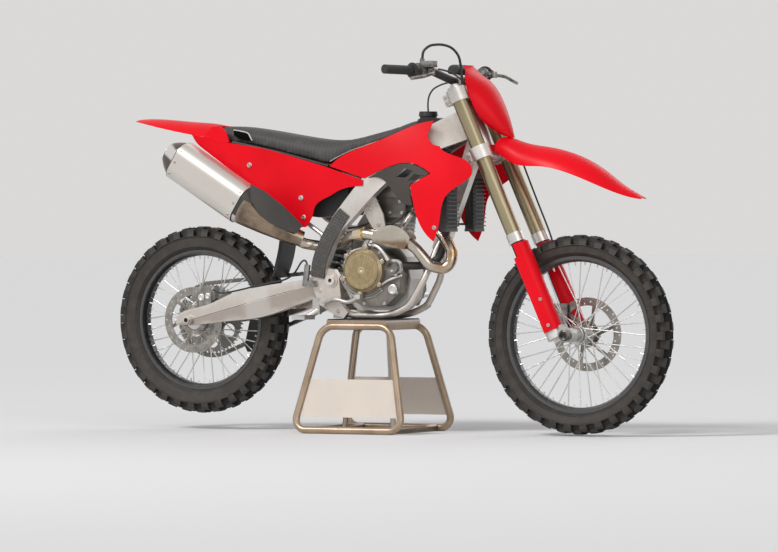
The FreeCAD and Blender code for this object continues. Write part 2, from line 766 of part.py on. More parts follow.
def bar_loft(stations):
    """Bar along a path in the XZ plane: x, y, z, height across the path and thickness at each station."""
    wires = []
    for index, (x, y, z, height, thickness) in enumerate(stations):
        before = stations[max(index - 1, 0)]
        after = stations[min(index + 1, len(stations) - 1)]
        run = Vector(after[0] - before[0], 0, after[2] - before[2]).normalize()
        across = Vector(-run.z, 0, run.x) * (height / 2)
        out = Vector(0, thickness / 2, 0)
        centre = Vector(x, y, z)
        wires.append(section_wire([centre - across - out, centre - across + out,
                                   centre + across + out, centre + across - out]))
    return lofted(wires)


spar_stations = (
    (312, -30, 1078, 104, 26), (255, -37, 1056, 98, 28), (200, -60, 1030, 90, 30),
    (120, -88, 985, 84, 32), (30, -106, 915, 80, 34), (-35, -112, 850, 72, 36),
    (-96, -112, 785, 66, 36), (-150, -112, 725, 58, 34), (-192, -110, 655, 56, 32),
    (-216, -106, 600, 56, 28), (-222, -100, 550, 58, 26),
)


def frame():
    """Twin-spar frame: headstock, spars, pivot plates, downtube and lower cradle in one weldment."""
    inner = dim("plate_inner_y")
    outer = dim("plate_outer_y")
    rail_z = dim("stand_height") + dim("rail_radius")
    rail_y = dim("rail_y")
    spar = bar_loft(spar_stations)
    plate_points = [(-250, 560), (-246, 500), (-226, 455), (-184, 424), (-128, 402), (-110, 424),
                    (-136, 452), (-140, 490), (-146, 545), (-166, 574), (-205, 580)]
    side_plate = polygon_plate(plate_points, -outer, -inner)
    boss = rod((dim("pivot_x"), -outer - 4, dim("pivot_z")), (dim("pivot_x"), -inner, dim("pivot_z")), 25)
    rail = tube([(-180, -98, rail_z + 22), (-100, -rail_y - 4, rail_z), (57, -rail_y, rail_z),
                 (112, -rail_y + 3, rail_z + 38), (168, -62, 545), (193, -26, 640), (208, -10, 680)],
                dim("rail_radius"), [110, 220, 90, 160, 120])
    hanger = polygon_plate([(-62, 800), (-20, 850), (22, 768), (30, 728), (4, 706), (-22, 722), (-46, 762)],
                           -98, -91)
    hanger_boss = rod((4, -98, 730), (4, -62.2, 730), 11)
    side = spar.multiFuse([side_plate, boss, rail, hanger, hanger_boss])
    low = -dim("plate_outer_y")
    headstock = leaned(rod((0, 0, dim("lower_clamp_high") + dim("clamp_gap")),
                           (0, 0, dim("upper_clamp_low") - dim("clamp_gap")), dim("headstock_radius")))
    downtube = bar_loft(((196, 0, 640, 44, 44), (214, 0, 690, 50, 40), (262, 0, 810, 50, 38),
                         (318, 0, 955, 54, 38), (342, 0, 1018, 60, 40)))
    pivot = rod((dim("pivot_x"), low - 10, dim("pivot_z")), (dim("pivot_x"), -low + 10, dim("pivot_z")),
                dim("pivot_radius"))
    pivot_head = rod((dim("pivot_x"), low - 12, dim("pivot_z")), (dim("pivot_x"), low - 2, dim("pivot_z")), 17)
    shock_tie = rod((-168, -100, 716), (-168, 100, 716), 13)
    lower_tie = rod((-190, low + 10, 438), (-190, -low - 10, 438), 11)
    whole = headstock.multiFuse([side, mirrored(side), downtube, pivot, pivot_head, mirrored(pivot_head),
                                 shock_tie, lower_tie])
    stem_bore = leaned(rod((0, 0, -200), (0, 0, 200), dim("stem_radius") + dim("stem_clearance")))
    seats = leaned(rod((0, 0, dim("lower_clamp_low") - dim("clamp_gap")),
                       (0, 0, dim("lower_clamp_high") + dim("clamp_gap")), 49))
    pivot_bore = rod((dim("pivot_x"), -150, dim("pivot_z")), (dim("pivot_x"), 150, dim("pivot_z")),
                     dim("pivot_bore_radius"))
    return feature("frame", whole.cut(Part.makeCompound([stem_bore, seats, pivot_bore])))


def frame_guards(frame_shape):
    """Textured covers on the outer faces of the spars, by the rider's boots."""
    stations = ((-112, -133, 774, 46, 5), (-150, -132.5, 725, 52, 5), (-192, -130, 655, 54, 5),
                (-217, -124, 600, 54, 5), (-227, -117.5, 545, 50, 5))
    guard = bar_loft(stations).cut(frame_shape)
    return feature("frame_guards", separate(*both_sides(guard)))


def swingarm(frame_plate_room=2.5):
    stations = ((-800, 88, 115, 374, 404), (-700, 88, 115, 378, 440), (-620, 84, 115, 386, 468),
                (-540, 80, 114, 394, 497), (-460, 77, 112, 404, 512), (-400, 75, 108, 420, 522),
                (-340, 64, 98, 442, 530), (-280, 53, 84, 464, 545), (-220, 50, 82, 492, 554),
                (-146, 50, 82, 512, 556))
    arm = box_loft(stations)
    bridge = box((-402, -82, 434), (-336, 82, 514))
    link = box((-336, -22, 436), (-262, 22, 465.7))
    axle_z = dim("rear_axle_z")
    axle_x = dim("rear_axle_x")
    radius = dim("rear_axle_radius")
    axle = rod((axle_x, -135, axle_z), (axle_x, 135, axle_z), radius)
    nut = rod((axle_x, 115, axle_z), (axle_x, 130, axle_z), 18)
    right_spacer = rod((axle_x, -90, axle_z), (axle_x, -dim("rear_disc_y") - 1, axle_z), 18)
    left_spacer = rod((axle_x, dim("sprocket_y") + 1, axle_z), (axle_x, 90, axle_z), 18)
    whole = arm.multiFuse([mirrored(arm), bridge, link, axle, nut, mirrored(nut), right_spacer, left_spacer])
    cuts = [rod((axle_x, -140, axle_z), (axle_x, 140, axle_z), dim("axle_bore_radius")),
            rod((dim("pivot_x"), -90, dim("pivot_z")), (dim("pivot_x"), 90, dim("pivot_z")),
                dim("pivot_radius") + 0.4)]
    room = dim("plate_inner_y") - frame_plate_room
    for side in (-1, 1):
        near, far = sorted((side * room, side * 140))
        cuts.append(box((-258, near, 380), (-120, far, 620)))
    return feature("swingarm", whole.cut(Part.makeCompound(cuts)))


def engine():
    """Crankcases with their side covers; closed castings are solid inside."""
    cases = polygon_plate([(-128, 500), (-118, 444), (-92, 430), (56, 430), (98, 470), (110, 540),
                           (92, 618), (62, 649.7), (-62, 649.7), (-112, 618)], -56, 50)
    right_case = polygon_plate([(-126, 600), (-126, 520), (-100, 470), (-52, 446), (40, 446), (92, 492),
                                (98, 560), (72, 608), (24, 640), (-44, 656), (-98, 640)], -112, -56)
    pump = rod((80, -112, 582), (80, -132, 582), 28)
    oil_cap = rod((70, -112, 505), (70, -118, 505), 15)
    left_cover = rod((18, 50, 518), (18, 98, 518), 66)
    nose = polygon_plate([(-50, 445), (70, 445), (100, 500), (96, 590), (20, 630), (-40, 600)], 50, 82)
    shaft = rod((-100, 50, 546), (-100, dim("sprocket_y") - 0.2, 546), 18)
    whole = cases.multiFuse([right_case, pump, oil_cap, left_cover, nose, shaft])
    return feature("engine", whole)


def clutch_cover():
    body = new_body("clutch_cover")
    sketch = new_sketch(body, "clutch_cover_section", "XY_Plane")
    bound_outline(sketch, [("0", "0"), ("Sizes.clutch_radius", "0"), ("Sizes.clutch_radius", "-16"),
                           ("Sizes.clutch_radius - 10", "-26"), ("0", "-28")])
    turn = body.newObject("PartDesign::Revolution", "clutch_cover_turn")
    turn.Profile = sketch
    turn.ReferenceAxis = (sketch, ["V_Axis"])
    turn.Angle = 360
    sketch.Visibility = False
    body.Tip = turn
    body.Placement = Placement(Vector(-44, -112.3, 571), Rotation())
    return body


def cylinder():
    """Cylinder with cooling ribs, head and cam cover, leaning a little forward."""
    barrel = polygon_plate([(-48, 650), (60, 650), (76, 756), (-34, 756)], -50, 50)
    top = polygon_plate([(-42, 756), (88, 756), (94, 826), (-34, 826)], -62, 62)
    cover = polygon_plate([(-28, 826), (86, 826), (78, 856), (-16, 862)], -56, 56)
    port = rod((84, -12, 786), (108, -12, 778), 27)
    intake = rod((-34, 0, 800), (-112, 0, 838), 30)
    ribs = [box((-56 + 1.4 * step, -54, 662 + 14 * step), (66 + 1.4 * step, 54, 667 + 14 * step))
            for step in range(6)]
    return feature("cylinder", barrel.multiFuse([top, cover, port, intake] + ribs))


def exhaust_pipe(cylinder_shape, frame_shape):
    """Header that loops ahead of the engine, resonator box, and the mid pipe inside the frame."""
    radius = dim("header_radius")
    header = tube([(108.5, -12, 777), (150, -20, 764), (196, -44, 726), (250, -60, 676), (282, -66, 628),
                   (262, -78, 572), (204, -98, 588), (160, -112, 646), (126, -117, 672)],
                  radius, [90, 90, 110, 60, 34, 40, 70])
    box_part = bar_loft(((138, -117, 664, 44, 50), (104, -119, 684, 72, 58), (60, -120, 692, 70, 60),
                         (30, -119, 688, 50, 54), (0, -118, 692, 38, 40)))
    middle = tube([(10, -118, 691), (-52, -116, 700), (-104, -98, 690), (-160, -62, 664), (-230, -60, 652),
                   (-282, -110, 664), (-326, -165, 695.6), (-366.9, -165, 720.9)],
                  radius - 1, [110, 90, 90, 80, 50, 50])
    joint = rod((-42, -116.5, 699), (-78, -108, 697), radius + 4)
    whole = header.multiFuse([box_part, middle, joint])
    return feature("exhaust_pipe", cleared(whole, cylinder_shape, frame_shape))


def rounded_wire(width, height, corner, offset):
    """Rounded rectangle in the YZ plane at a distance along X."""
    y = width / 2
    z = height / 2
    bend = corner * (1 - math.sqrt(0.5))
    arcs = []
    for sy, sz in ((1, -1), (1, 1), (-1, 1), (-1, -1)):
        flat = Vector(offset, sy * y, sz * (z - corner))
        level = Vector(offset, sy * (y - corner), sz * z)
        middle = Vector(offset, sy * (y - bend), sz * (z - bend))
        pair = (level, middle, flat) if sy * sz < 0 else (flat, middle, level)
        arcs.append(Part.Arc(*pair).toShape())
    edges = []
    for arc, following in zip(arcs, arcs[1:] + arcs[:1]):
        edges.append(arc)
        edges.append(Part.LineSegment(arc.Vertexes[-1].Point, following.Vertexes[0].Point).toShape())
    return Part.Wire(edges)


def muffler_placement():
    """Local X runs from the front of the can up and back along its axis."""
    climb = math.radians(31.7)
    back = Vector(-math.cos(climb), 0, math.sin(climb))
    left = Vector(0, -1, 0)
    up = back.cross(left)
    turn = Rotation(back, left, up, "XYZ")
    return Placement(Vector(-495, -dim("muffler_y"), 800), turn)


def muffler():
    """Can with its front cone and polished end cap."""
    width = dim("muffler_width")
    height = dim("muffler_height")
    length = dim("muffler_length")
    can = Part.makeLoft([rounded_wire(width, height, 44, 0), rounded_wire(width, height, 44, length)],
                        True, True)
    cap = lofted([rounded_wire(width - 4, height - 4, 44, length),
                  rounded_wire(width - 34, height - 38, 38, length + 34),
                  rounded_wire(width - 56, height - 66, 30, length + 52)])
    outlet = rod((length + 10, 0, 0), (length + 60, 0, 0), 19)
    cone = lofted([rounded_wire(width - 4, height - 4, 44, 0),
                   rounded_wire(width - 34, height - 44, 40, -70),
                   rounded_wire(54, 54, 26, -150)])
    whole = can.multiFuse([cap, outlet, cone])
    whole.Placement = muffler_placement()
    return feature("muffler", whole)


def heat_shield():
    wall = dim("shell_wall")
    width = dim("muffler_width")
    height = dim("muffler_height")
    sizes = ((0, 44, 0), (-30, 40, -70), (54 - width + 4, 26, -150))
    shells = []
    for grow in (dim("seat_gap") + wall, dim("seat_gap")):
        wires = [rounded_wire(width - 4 + shrink + 2 * grow, height - 4 + shrink + 2 * grow, corner + grow, x)
                 for shrink, corner, x in sizes]
        shells.append(lofted(wires))
    shell = shells[0].cut(shells[1])
    window = box((-140, 8, -34), (-2, 120, 120))
    shield = shell.common(window)
    shield.Placement = muffler_placement()
    return feature("heat_shield", shield)


def subframe(frame_shape):
    upper = tube([(-52, -97, 880), (-130, -89, 905), (-592, -88, 998)], 8, 120)
    lower = tube([(-205, -106, 690), (-300, -90, 748), (-592, -88, 978)], 8, 160)
    tie = rod((-585, -92, 1003.7), (-585, 92, 1003.7), 8)
    whole = upper.multiFuse([mirrored(upper), lower, mirrored(lower), tie])
    return feature("subframe", whole.cut(frame_shape))


def airbox(subframe_shape):
    points = [(-124, 884), (-126, 812), (-150, 764), (-240, 756), (-300, 762), (-420, 846), (-570, 962),
              (-570, 1000), (-430, 978), (-252, 930), (-187, 910)]
    half = 88 - 8 - dim("seat_gap")
    shape = polygon_plate(points, -half, half)
    shape = shape.cut(rod((-34, 0, 800), (-140, 0, 851.5), 31))
    return feature("airbox", shape.cut(subframe_shape))


def coil(start, end, radius, wire_radius, turns):
    """Helical spring as a ruled loft through six-sided sections, sixteen to the turn."""
    run = end - start
    sections = []
    for step in range(16 * turns + 1):
        around = Placement(Vector(0, 0, run.Length * step / (16 * turns)),
                           Rotation(Vector(0, 0, 1), 360 * step / 16))
        corners = [Vector(radius + wire_radius * math.cos(corner), 0, wire_radius * math.sin(corner))
                   for corner in (math.pi * index / 3 for index in range(6))]
        sections.append(Part.makePolygon([around.multVec(point) for point in corners + corners[:1]]))
    spring = Part.makeLoft(sections, True, True)
    spring.Placement = Placement(start, Rotation(Vector(0, 0, 1), run))
    return spring


def shock():
    """Rear shock with its spring, reservoir and lower clevis."""
    low = Vector(-268, 0, 486)
    high = Vector(-176, 0, 694)
    run = (high - low).normalize()
    body = rod(low, high - run * 4, 17)
    collars = [rod(low + run * 18, low + run * 28, 34), rod(high - run * 44, high - run * 34, 34)]
    spring = coil(low + run * 25, high - run * 41, 28, 5.5, 6)
    reservoir = rod(Vector(-232, 30, 628), Vector(-196, 34, 700), 20)
    neck = rod(Vector(-186, 4, 672), Vector(-206, 30, 682), 11)
    eye = rod((low.x, -19, low.z - 6), (low.x, 19, low.z - 6), 14)
    return feature("shock", body.multiFuse(collars + [spring, reservoir, neck, eye]))


def mud_flap():
    profile = [[(-402, 690), (-412, 620), (-440, 545)], [(-440, 545), (-446, 545)],
               [(-446, 545), (-426, 620), (-416, 690), (-430, 760), (-440, 861)],
               [(-440, 861), (-430, 853.3)],
               [(-430, 853.3), (-418, 760), (-402, 690)]]
    return feature("mud_flap", plate(profile, -52, 52))


def chain():
    """Roller chain as one fixed loop, grooved where it runs round the rear sprocket."""
    low = dim("sprocket_y") - 4.5
    high = dim("sprocket_y") + dim("sprocket_thickness") + 4.5
    rear = Vector(dim("rear_axle_x"), 0, dim("rear_axle_z"))
    front = Vector(-100, 0, 546)
    solids = []
    for grow in (7, -7):
        rear_radius = dim("sprocket_radius") + 6 + grow
        front_radius = 36 + grow
        span = front - rear
        angle = math.atan2(span.z, span.x)
        spread = math.acos((rear_radius - front_radius) / span.Length)
        edges = []
        spots = []
        for sign in (1, -1):
            direction = Vector(math.cos(angle + sign * spread), 0, math.sin(angle + sign * spread))
            spots.append((rear + direction * rear_radius, front + direction * front_radius))
        back = rear - span.normalize() * rear_radius
        nose = front + span.normalize() * front_radius
        edges.append(Part.LineSegment(spots[0][0], spots[0][1]).toShape())
        edges.append(Part.Arc(spots[0][1], nose, spots[1][1]).toShape())
        edges.append(Part.LineSegment(spots[1][1], spots[1][0]).toShape())
        edges.append(Part.Arc(spots[1][0], back, spots[0][0]).toShape())
        face = Part.Face(Part.Wire(edges))
        face.translate(Vector(0, low, 0))
        solids.append(face.extrude(Vector(0, high - low, 0)))
    loop = solids[0].cut(solids[1])
    groove = rod((rear.x, low + 3, rear.z), (rear.x, high - 3, rear.z), dim("sprocket_radius") + 2)
    loop = loop.cut(Part.makeCompound([groove] + link_waists(solids, low - 1, high + 1)))
    runs = [loop.common(box((left, low - 5, 0), (right, high + 5, 900)))
            for left, right in ((-950, -640), (-640, -120), (-120, 50))]
    pinion = rod((front.x, dim("sprocket_y"), front.z), (front.x, dim("sprocket_y") + 7, front.z), 28)
    return feature("chain", separate(*runs, pinion))


def link_waists(edges_of, low, high):
    """Notches between the side plates' rounded ends, one link apart on both edges of the chain."""
    half = dim("chain_notch")
    notches = []
    for solid in edges_of:
        side = max(solid.Faces, key=lambda face: face.CenterOfMass.y)
        spots = side.OuterWire.discretize(Number=int(side.OuterWire.Length / dim("chain_pitch")))
        for spot in spots[:-1]:
            notches.append(polygon_plate([(spot.x + half, spot.z), (spot.x, spot.z + half),
                                          (spot.x - half, spot.z), (spot.x, spot.z - half)], low, high))
    return notches


def chain_guide(arm_shape):
    """Block inside the left arm that leads the lower run on to the rear sprocket."""
    outer = polygon_plate([(-590, 392), (-520, 392), (-512, 318), (-540, 286), (-600, 276), (-612, 300)], 47, 79)
    tab = box((-584, 72, 350), (-530, 100, 420))
    slope = polygon_plate([(-640, 282), (-480, 345), (-480, 374), (-640, 311)], 51.5, 75.5)
    return feature("chain_guide", cleared(outer.fuse(tab).cut(slope), arm_shape))


def rear_brake(arm_shape, frame_shape):
    """Caliper over the disc on the right arm, and the master cylinder by the pivot plate."""
    centre = rear_axle + Vector(62, 0, 96)
    disc_low = -dim("rear_disc_y") - dim("disc_thickness") - 2
    disc_high = -dim("rear_disc_y") + 2
    block = box(centre + Vector(-34, disc_low - 12, -26), centre + Vector(32, disc_high + 12, 26))
    slot = rod(rear_axle + Vector(0, disc_low, 0), rear_axle + Vector(0, disc_high, 0),
               dim("rear_disc_radius") + 5)
    bracket = box(centre + Vector(-26, -103, -66), centre + Vector(24, disc_low - 7, 4))
    caliper = cleared(block.cut(slot).fuse(bracket), arm_shape)
    master = rod((-274, -123, 514), (-264, -123, 590), 11)
    master = master.fuse(box((-274, -129, 512), (-234, -108, 534)))
    return feature("rear_brake", separate(caliper, cleared(master, frame_shape)))


def foot_controls(frame_shape):
    """Footpegs, brake pedal and gear lever."""
    peg = box((-290, -196, 398), (-238, -118, 414))
    peg = peg.fuse(rod((-262, -124, 408), (-232, -104, 430), 12))
    peg = peg.fuse(box((-250, -114, 416), (-222, -98, 474)))
    pedal = tube([(-202, -126, 456), (-150, -132, 470), (-96, -138, 458), (-52, -140, 476)], 7, [60, 40])
    pedal = pedal.multiFuse([box((-66, -156, 472), (-40, -132, 486)),
                             rod((-202, -133, 456), (-202, -100, 456), 11)])
    lever = tube([(-76, 106, 470), (-30, 112, 456), (40, 122, 462), (72, 122, 480)], 6, [60, 60])
    lever = lever.multiFuse([rod((66, 112, 482), (66, 146, 482), 9), rod((-76, 50.3, 470), (-76, 112, 470), 9)])
    peg = cleared(peg, frame_shape)
    pedal = cleared(pedal, frame_shape)
    return feature("foot_controls", separate(peg, mirrored(peg), pedal, lever))


# Bodywork

def right_shell(stations, z_low, z_high):
    wall = dim("shell_wall")
    bands = [upright_band(x, low, middle, high, z_low, z_high, wall) for x, low, middle, high in stations]
    return lofted(bands)


shroud_stations = ((-220, 118, 118, 96), (-80, 128, 128, 84), (60, 148, 144, 78), (160, 164, 156, 80),
                   (240, 172, 163, 92), (320, 174, 166, 118), (420, 174, 166, 140))


def shrouds(frame_shape):
    edge = [
        [(-180, 936), (-120, 977), (-46, 1005), (50, 1039), (128, 1071), (222, 1092)],
        [(222, 1092), (206, 1046)],
        [(206, 1046), (220, 1020), (263, 1003)],
        [(263, 1003), (336, 967), (396, 934), (399, 900)],
        [(399, 900), (338, 858), (302, 828), (286, 778), (271, 704)],
        [(271, 704), (258, 672)],
        [(258, 672), (203, 733), (176, 803), (159, 868)],
        [(159, 868), (238, 908)],
        [(238, 908), (186, 936), (127, 947), (62, 932), (8, 912), (-36, 892)],
        [(-36, 892), (-180, 936)],
    ]
    shroud = plate(edge, -200, -60).common(right_shell(shroud_stations, 640, 1120))
    return feature("shrouds", separate(*both_sides(cleared(shroud, frame_shape))))


def shroud_panels(frame_shape):
    """Ribbed inner panels that carry the air vents between shroud and frame."""
    edge = [
        [(-34, 888), (8, 908), (62, 928), (127, 943), (184, 932), (228, 908)],
        [(228, 908), (154, 872)],
        [(154, 872), (160, 826), (170, 798)],
        [(170, 798), (120, 812), (84, 848), (-34, 888)],
    ]
    shell = right_shell([(x, low - 5, middle - 5, high - 5) for x, low, middle, high in shroud_stations],
                        640, 1120)
    body = plate(edge, -200, -60).common(shell)
    vents = [polygon_plate([(92, 898), (124, 926), (164, 918), (136, 894)], -200, -60),
             polygon_plate([(142, 880), (168, 906), (210, 902), (178, 886)], -200, -60)]
    body = cleared(body.cut(Part.makeCompound(vents)), frame_shape)
    return feature("shroud_panels", separate(*both_sides(body)))


def side_panels(frame_shape):
    edge = [
        [(-746, 1052), (-740, 1046)],
        [(-740, 1046), (-720, 1018), (-691, 996), (-601, 936), (-498, 872), (-350, 784)],
        [(-350, 784), (-322, 758), (-290, 722)],
        [(-290, 722), (-272, 722)],
        [(-272, 722), (-250, 752), (-239, 784)],
        [(-239, 784), (-228, 803), (-177, 830), (-138, 850), (-104, 860), (-41, 866)],
        [(-41, 866), (-40, 887)],
        [(-40, 887), (-184, 931)],
        [(-184, 931), (-252, 950), (-352, 976), (-432, 996), (-560, 1016), (-640, 1030)],
        [(-640, 1030), (-746, 1052)],
    ]
    stations = ((-780, 100, 101, 99), (-600, 103, 103, 101), (-420, 116, 112, 106), (-280, 122, 118, 110),
                (-160, 128, 126, 116), (-20, 136, 135, 124))
    panel = plate(edge, -200, -60).common(right_shell(stations, 700, 1070))
    return feature("side_panels", separate(*both_sides(cleared(panel, frame_shape))))


def rear_fender():
    wall = dim("shell_wall")
    stations = ((-1003, 50, 1108, 1100), (-960, 66, 1110, 1092), (-893, 80, 1107, 1078),
                (-800, 90, 1099, 1060), (-731, 94, 1094, 1048), (-652, 95, 1082, 1034))
    bands = [arch_wire(x, half, crown, edge, wall) for x, half, crown, edge in stations]
    shell = lofted(bands)
    tongue = polygon_plate([(-668, 1081.5), (-650, 1081.5), (-650, 1042), (-566, 1012), (-566, 1006),
                            (-660, 1036), (-668, 1062)], -58, 58)
    return feature("rear_fender", shell.fuse(tongue))


def seat(tank_shape):
    """Long foam seat; its plain solid has the outer size that the cover follows."""
    stations = ((141, 40, 1077, 1098), (96, 52, 1060, 1088), (40, 66, 1036, 1066), (-50, 80, 1008, 1043),
                (-125, 92, 984, 1028), (-187, 98, 950, 1025), (-260, 98, 962, 1030), (-340, 97, 979, 1041),
                (-430, 93, 1001, 1056), (-560, 82, 1022, 1075), (-646, 62, 1046, 1080))
    wires = []
    for x, half, low, high in stations:
        shoulder = low + 0.62 * (high - low)
        wires.append(section_wire([(x, -half, low), (x, half, low), (x, half * 0.96, shoulder),
                                   (x, half * 0.66, high - 2), (x, 0, high), (x, -half * 0.66, high - 2),
                                   (x, -half * 0.96, shoulder)]))
    tank_room = tank_shape.copy()
    tank_room.translate(Vector(0, 0, dim("seat_gap")))
    return feature("seat", cleared(lofted(wires, 2), tank_room, tank_shape))


def fuel_tank(frame_shape):
    """Tank between the spars, with its wider top and filler cap."""
    lower = box_loft(((-40, -58, 58, 880, 975), (60, -60, 60, 910, 1010), (110, -54, 54, 925, 1034),
                      (152, -44, 44, 940, 1076), (196, -34, 34, 960, 1092), (232, -20, 20, 985, 1090)), False)
    upper = box_loft(((142.5, -66, 66, 1062, 1098), (180, -66, 66, 1078, 1104), (214, -48, 48, 1082, 1100),
                      (238, -26, 26, 1080, 1094)), False)
    neck = rod((150, 0, 1095), (150, 0, 1112), 30)
    cap = rod((150, 0, 1110), (150, 0, 1126), 34, 31)
    return feature("fuel_tank", cleared(lower.multiFuse([upper, neck, cap]), frame_shape))


def vent_hose():
    """Hose from the filler cap into the hollow stem; its end lies on the steering axis."""
    mouth = steering_lean.multVec(Vector(0, 0, dim("upper_clamp_high") + 28))
    end = steering_lean.multVec(Vector(0, 0, dim("upper_clamp_high") - 4))
    route = [(150, 0, 1126.3), (148, 0, 1152), (152, 0, 1180), (168, 0, 1204), (196, 0, 1218),
             (226, 0, 1226), (252, 0, 1228), tuple(mouth), tuple(end)]
    return feature("vent_hose", tube(route, 3, cord_radii(route)))


def radiators(frame_shape):
    """Core and tanks on each side, held to the downtube by two tabs."""
    core = box((262, -146, 716), (294, -62, 896))
    tank_top = box((258, -142, 896), (298, -66, 912))
    tank_low = box((258, -142, 706), (298, -66, 716))
    tabs = [box((256, -66, 802), (274, -18, 810)), box((246, -66, 728), (266, -18, 736))]
    louvres = [box((294, -144, z), (303, -64, z + 4)) for z in range(724, 896, 14)]
    one = cleared(core.multiFuse([tank_top, tank_low] + tabs + louvres), frame_shape)
    return feature("radiators", separate(*both_sides(one)))


# Paddock stand

def stand_rise():
    """Height from the middle of the lower rail to the middle of the top rail."""
    return dim("stand_height") - dim("stand_mat") - dim("stand_plate") - 2 * dim("stand_tube_radius")


def stand_spot(x_offset, z, inset=0.0):
    """Point in the plane of the right side frame at a height."""
    share = (z - dim("stand_tube_radius")) / stand_rise()
    y = dim("stand_foot_y") + (dim("stand_top_y") - dim("stand_foot_y")) * share
    return (dim("stand_x") + x_offset, inset - y, z)


def stand_frame():
    radius = dim("stand_tube_radius")
    high = radius + stand_rise()
    top = dim("stand_top_half")
    foot = dim("stand_foot_half")
    bend = dim("stand_bend")
    corners = [stand_spot(foot, radius), stand_spot(top, high), stand_spot(-top, high),
               stand_spot(-foot, radius)]
    hoop = tube([stand_spot(0, radius)] + corners + [stand_spot(0, radius)], radius,
                [bend - 15, bend, bend, bend - 15])
    post = rod(stand_spot(-18, radius, 14), stand_spot(0, high, 14), radius - 3)
    half = hoop.fuse(post)
    top_plate = box((dim("stand_x") - 118, -dim("stand_top_y"), high + radius - 4),
                    (dim("stand_x") + 118, dim("stand_top_y"), high + radius + dim("stand_plate")))
    flanges = [box((dim("stand_x") + s * 116 - 2, -dim("stand_top_y"), high - radius),
                   (dim("stand_x") + s * 116 + 2, dim("stand_top_y"), high + radius + 4)) for s in (-1, 1)]
    ties = [rod(stand_spot(s * (foot - 70), radius),
                (dim("stand_x") + s * (foot - 70), dim("stand_foot_y"), radius), radius - 1)
            for s in (-1, 1)]
    whole = half.multiFuse([mirrored(half), top_plate] + flanges + ties)
    return feature("stand_frame", whole)


def stand_mat():
    thick = dim("stand_mat")
    top = dim("stand_height") - 0.2
    mat = box((dim("stand_x") - 116, -dim("stand_top_y") + 4, top - thick + 0.2),
              (dim("stand_x") + 116, dim("stand_top_y") - 4, top))
    return feature("stand_mat", mat)


def stand_panels(stand_shape):
    """Sheet panels between the legs, one on each long side, up to the tubes."""
    low = 58
    high = 190
    foot = dim("stand_foot_half")
    narrowing = (foot - dim("stand_top_half")) / stand_rise()
    halves = [foot - narrowing * (z - dim("stand_tube_radius")) for z in (low, high)]
    corners = [stand_spot(-halves[0], low), stand_spot(halves[0], low),
               stand_spot(halves[1], high), stand_spot(-halves[1], high)]
    panel = Part.Face(section_wire(corners)).extrude(Vector(0, 2, 0))
    return feature("stand_panels", separate(*both_sides(cleared(panel, stand_shape))))


frame_item = frame()
frame_guards(frame_item.Shape)
arm_item = swingarm()
engine()
clutch_cover()
cylinder_item = cylinder()
exhaust_pipe(cylinder_item.Shape, frame_item.Shape)
muffler()
heat_shield()
subframe_item = subframe(frame_item.Shape)
airbox(subframe_item.Shape)
shock()
mud_flap()
chain()
chain_guide(arm_item.Shape)
rear_brake(arm_item.Shape, frame_item.Shape)
foot_controls(frame_item.Shape)
shrouds(frame_item.Shape)
shroud_panels(frame_item.Shape)
side_panels(frame_item.Shape)
rear_fender()
tank_item = fuel_tank(frame_item.Shape)
seat(tank_item.Shape)
vent_hose()
radiators(frame_item.Shape)
stand_item = stand_frame()
stand_mat()
stand_panels(stand_item.Shape)


# Every object is checked before anything is written

def check_document():
    doc.recompute()
    for item in doc.Objects:
        if "Invalid" in item.State or "Error" in item.State:
            raise RuntimeError(f"{item.Label}: {item.State}")
    for item in sub_parts:
        if item.Shape.isNull() or not item.Shape.isValid():
            raise RuntimeError(f"{item.Label}: shape is null or not valid")
        if not item.Shape.Solids:
            raise RuntimeError(f"{item.Label}: no solid")


check_document()
os.makedirs("parts", exist_ok=True)
for item in sub_parts:
    item.Shape.exportStep(f"parts/{item.Label}.step")
    print(item.Label, len(item.Shape.Solids), round(item.Shape.Volume / 1000), "cm3")
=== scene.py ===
import math

import bmesh
import bpy
from mathutils import Matrix, Vector


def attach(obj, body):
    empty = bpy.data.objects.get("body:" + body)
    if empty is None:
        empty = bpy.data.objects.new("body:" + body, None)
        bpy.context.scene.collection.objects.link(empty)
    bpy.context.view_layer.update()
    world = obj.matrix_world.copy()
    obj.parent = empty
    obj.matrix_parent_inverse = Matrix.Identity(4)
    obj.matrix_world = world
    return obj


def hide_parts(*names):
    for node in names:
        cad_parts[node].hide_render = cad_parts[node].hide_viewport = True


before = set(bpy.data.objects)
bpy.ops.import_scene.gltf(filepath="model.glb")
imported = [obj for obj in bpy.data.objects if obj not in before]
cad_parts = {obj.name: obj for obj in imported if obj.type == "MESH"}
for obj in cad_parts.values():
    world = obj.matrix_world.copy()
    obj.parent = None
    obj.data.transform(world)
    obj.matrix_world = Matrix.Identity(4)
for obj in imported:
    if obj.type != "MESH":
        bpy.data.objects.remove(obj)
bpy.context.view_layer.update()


def fresh():
    bpy.ops.object.select_all(action="DESELECT")


def pick(piece):
    fresh()
    piece.select_set(True)
    bpy.context.view_layer.objects.active = piece


def added(name, data):
    piece = bpy.data.objects.new(name, data)
    bpy.context.collection.objects.link(piece)
    return piece


def applied(piece, kind, settings):
    modifier = piece.modifiers.new("shaping", kind)
    for key, setting in settings.items():
        setattr(modifier, key, setting)
    bpy.context.view_layer.objects.active = piece
    bpy.ops.object.modifier_apply(modifier=modifier.name)


fresh()
print("frame loaded,", len(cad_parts), "nodes")


# camera, placed as in the photograph

view = {"place": (8.9145, -17.213, 0.770), "target": (-0.006, 0.0, 0.54993), "lens": 255.4, "roll": -0.11}

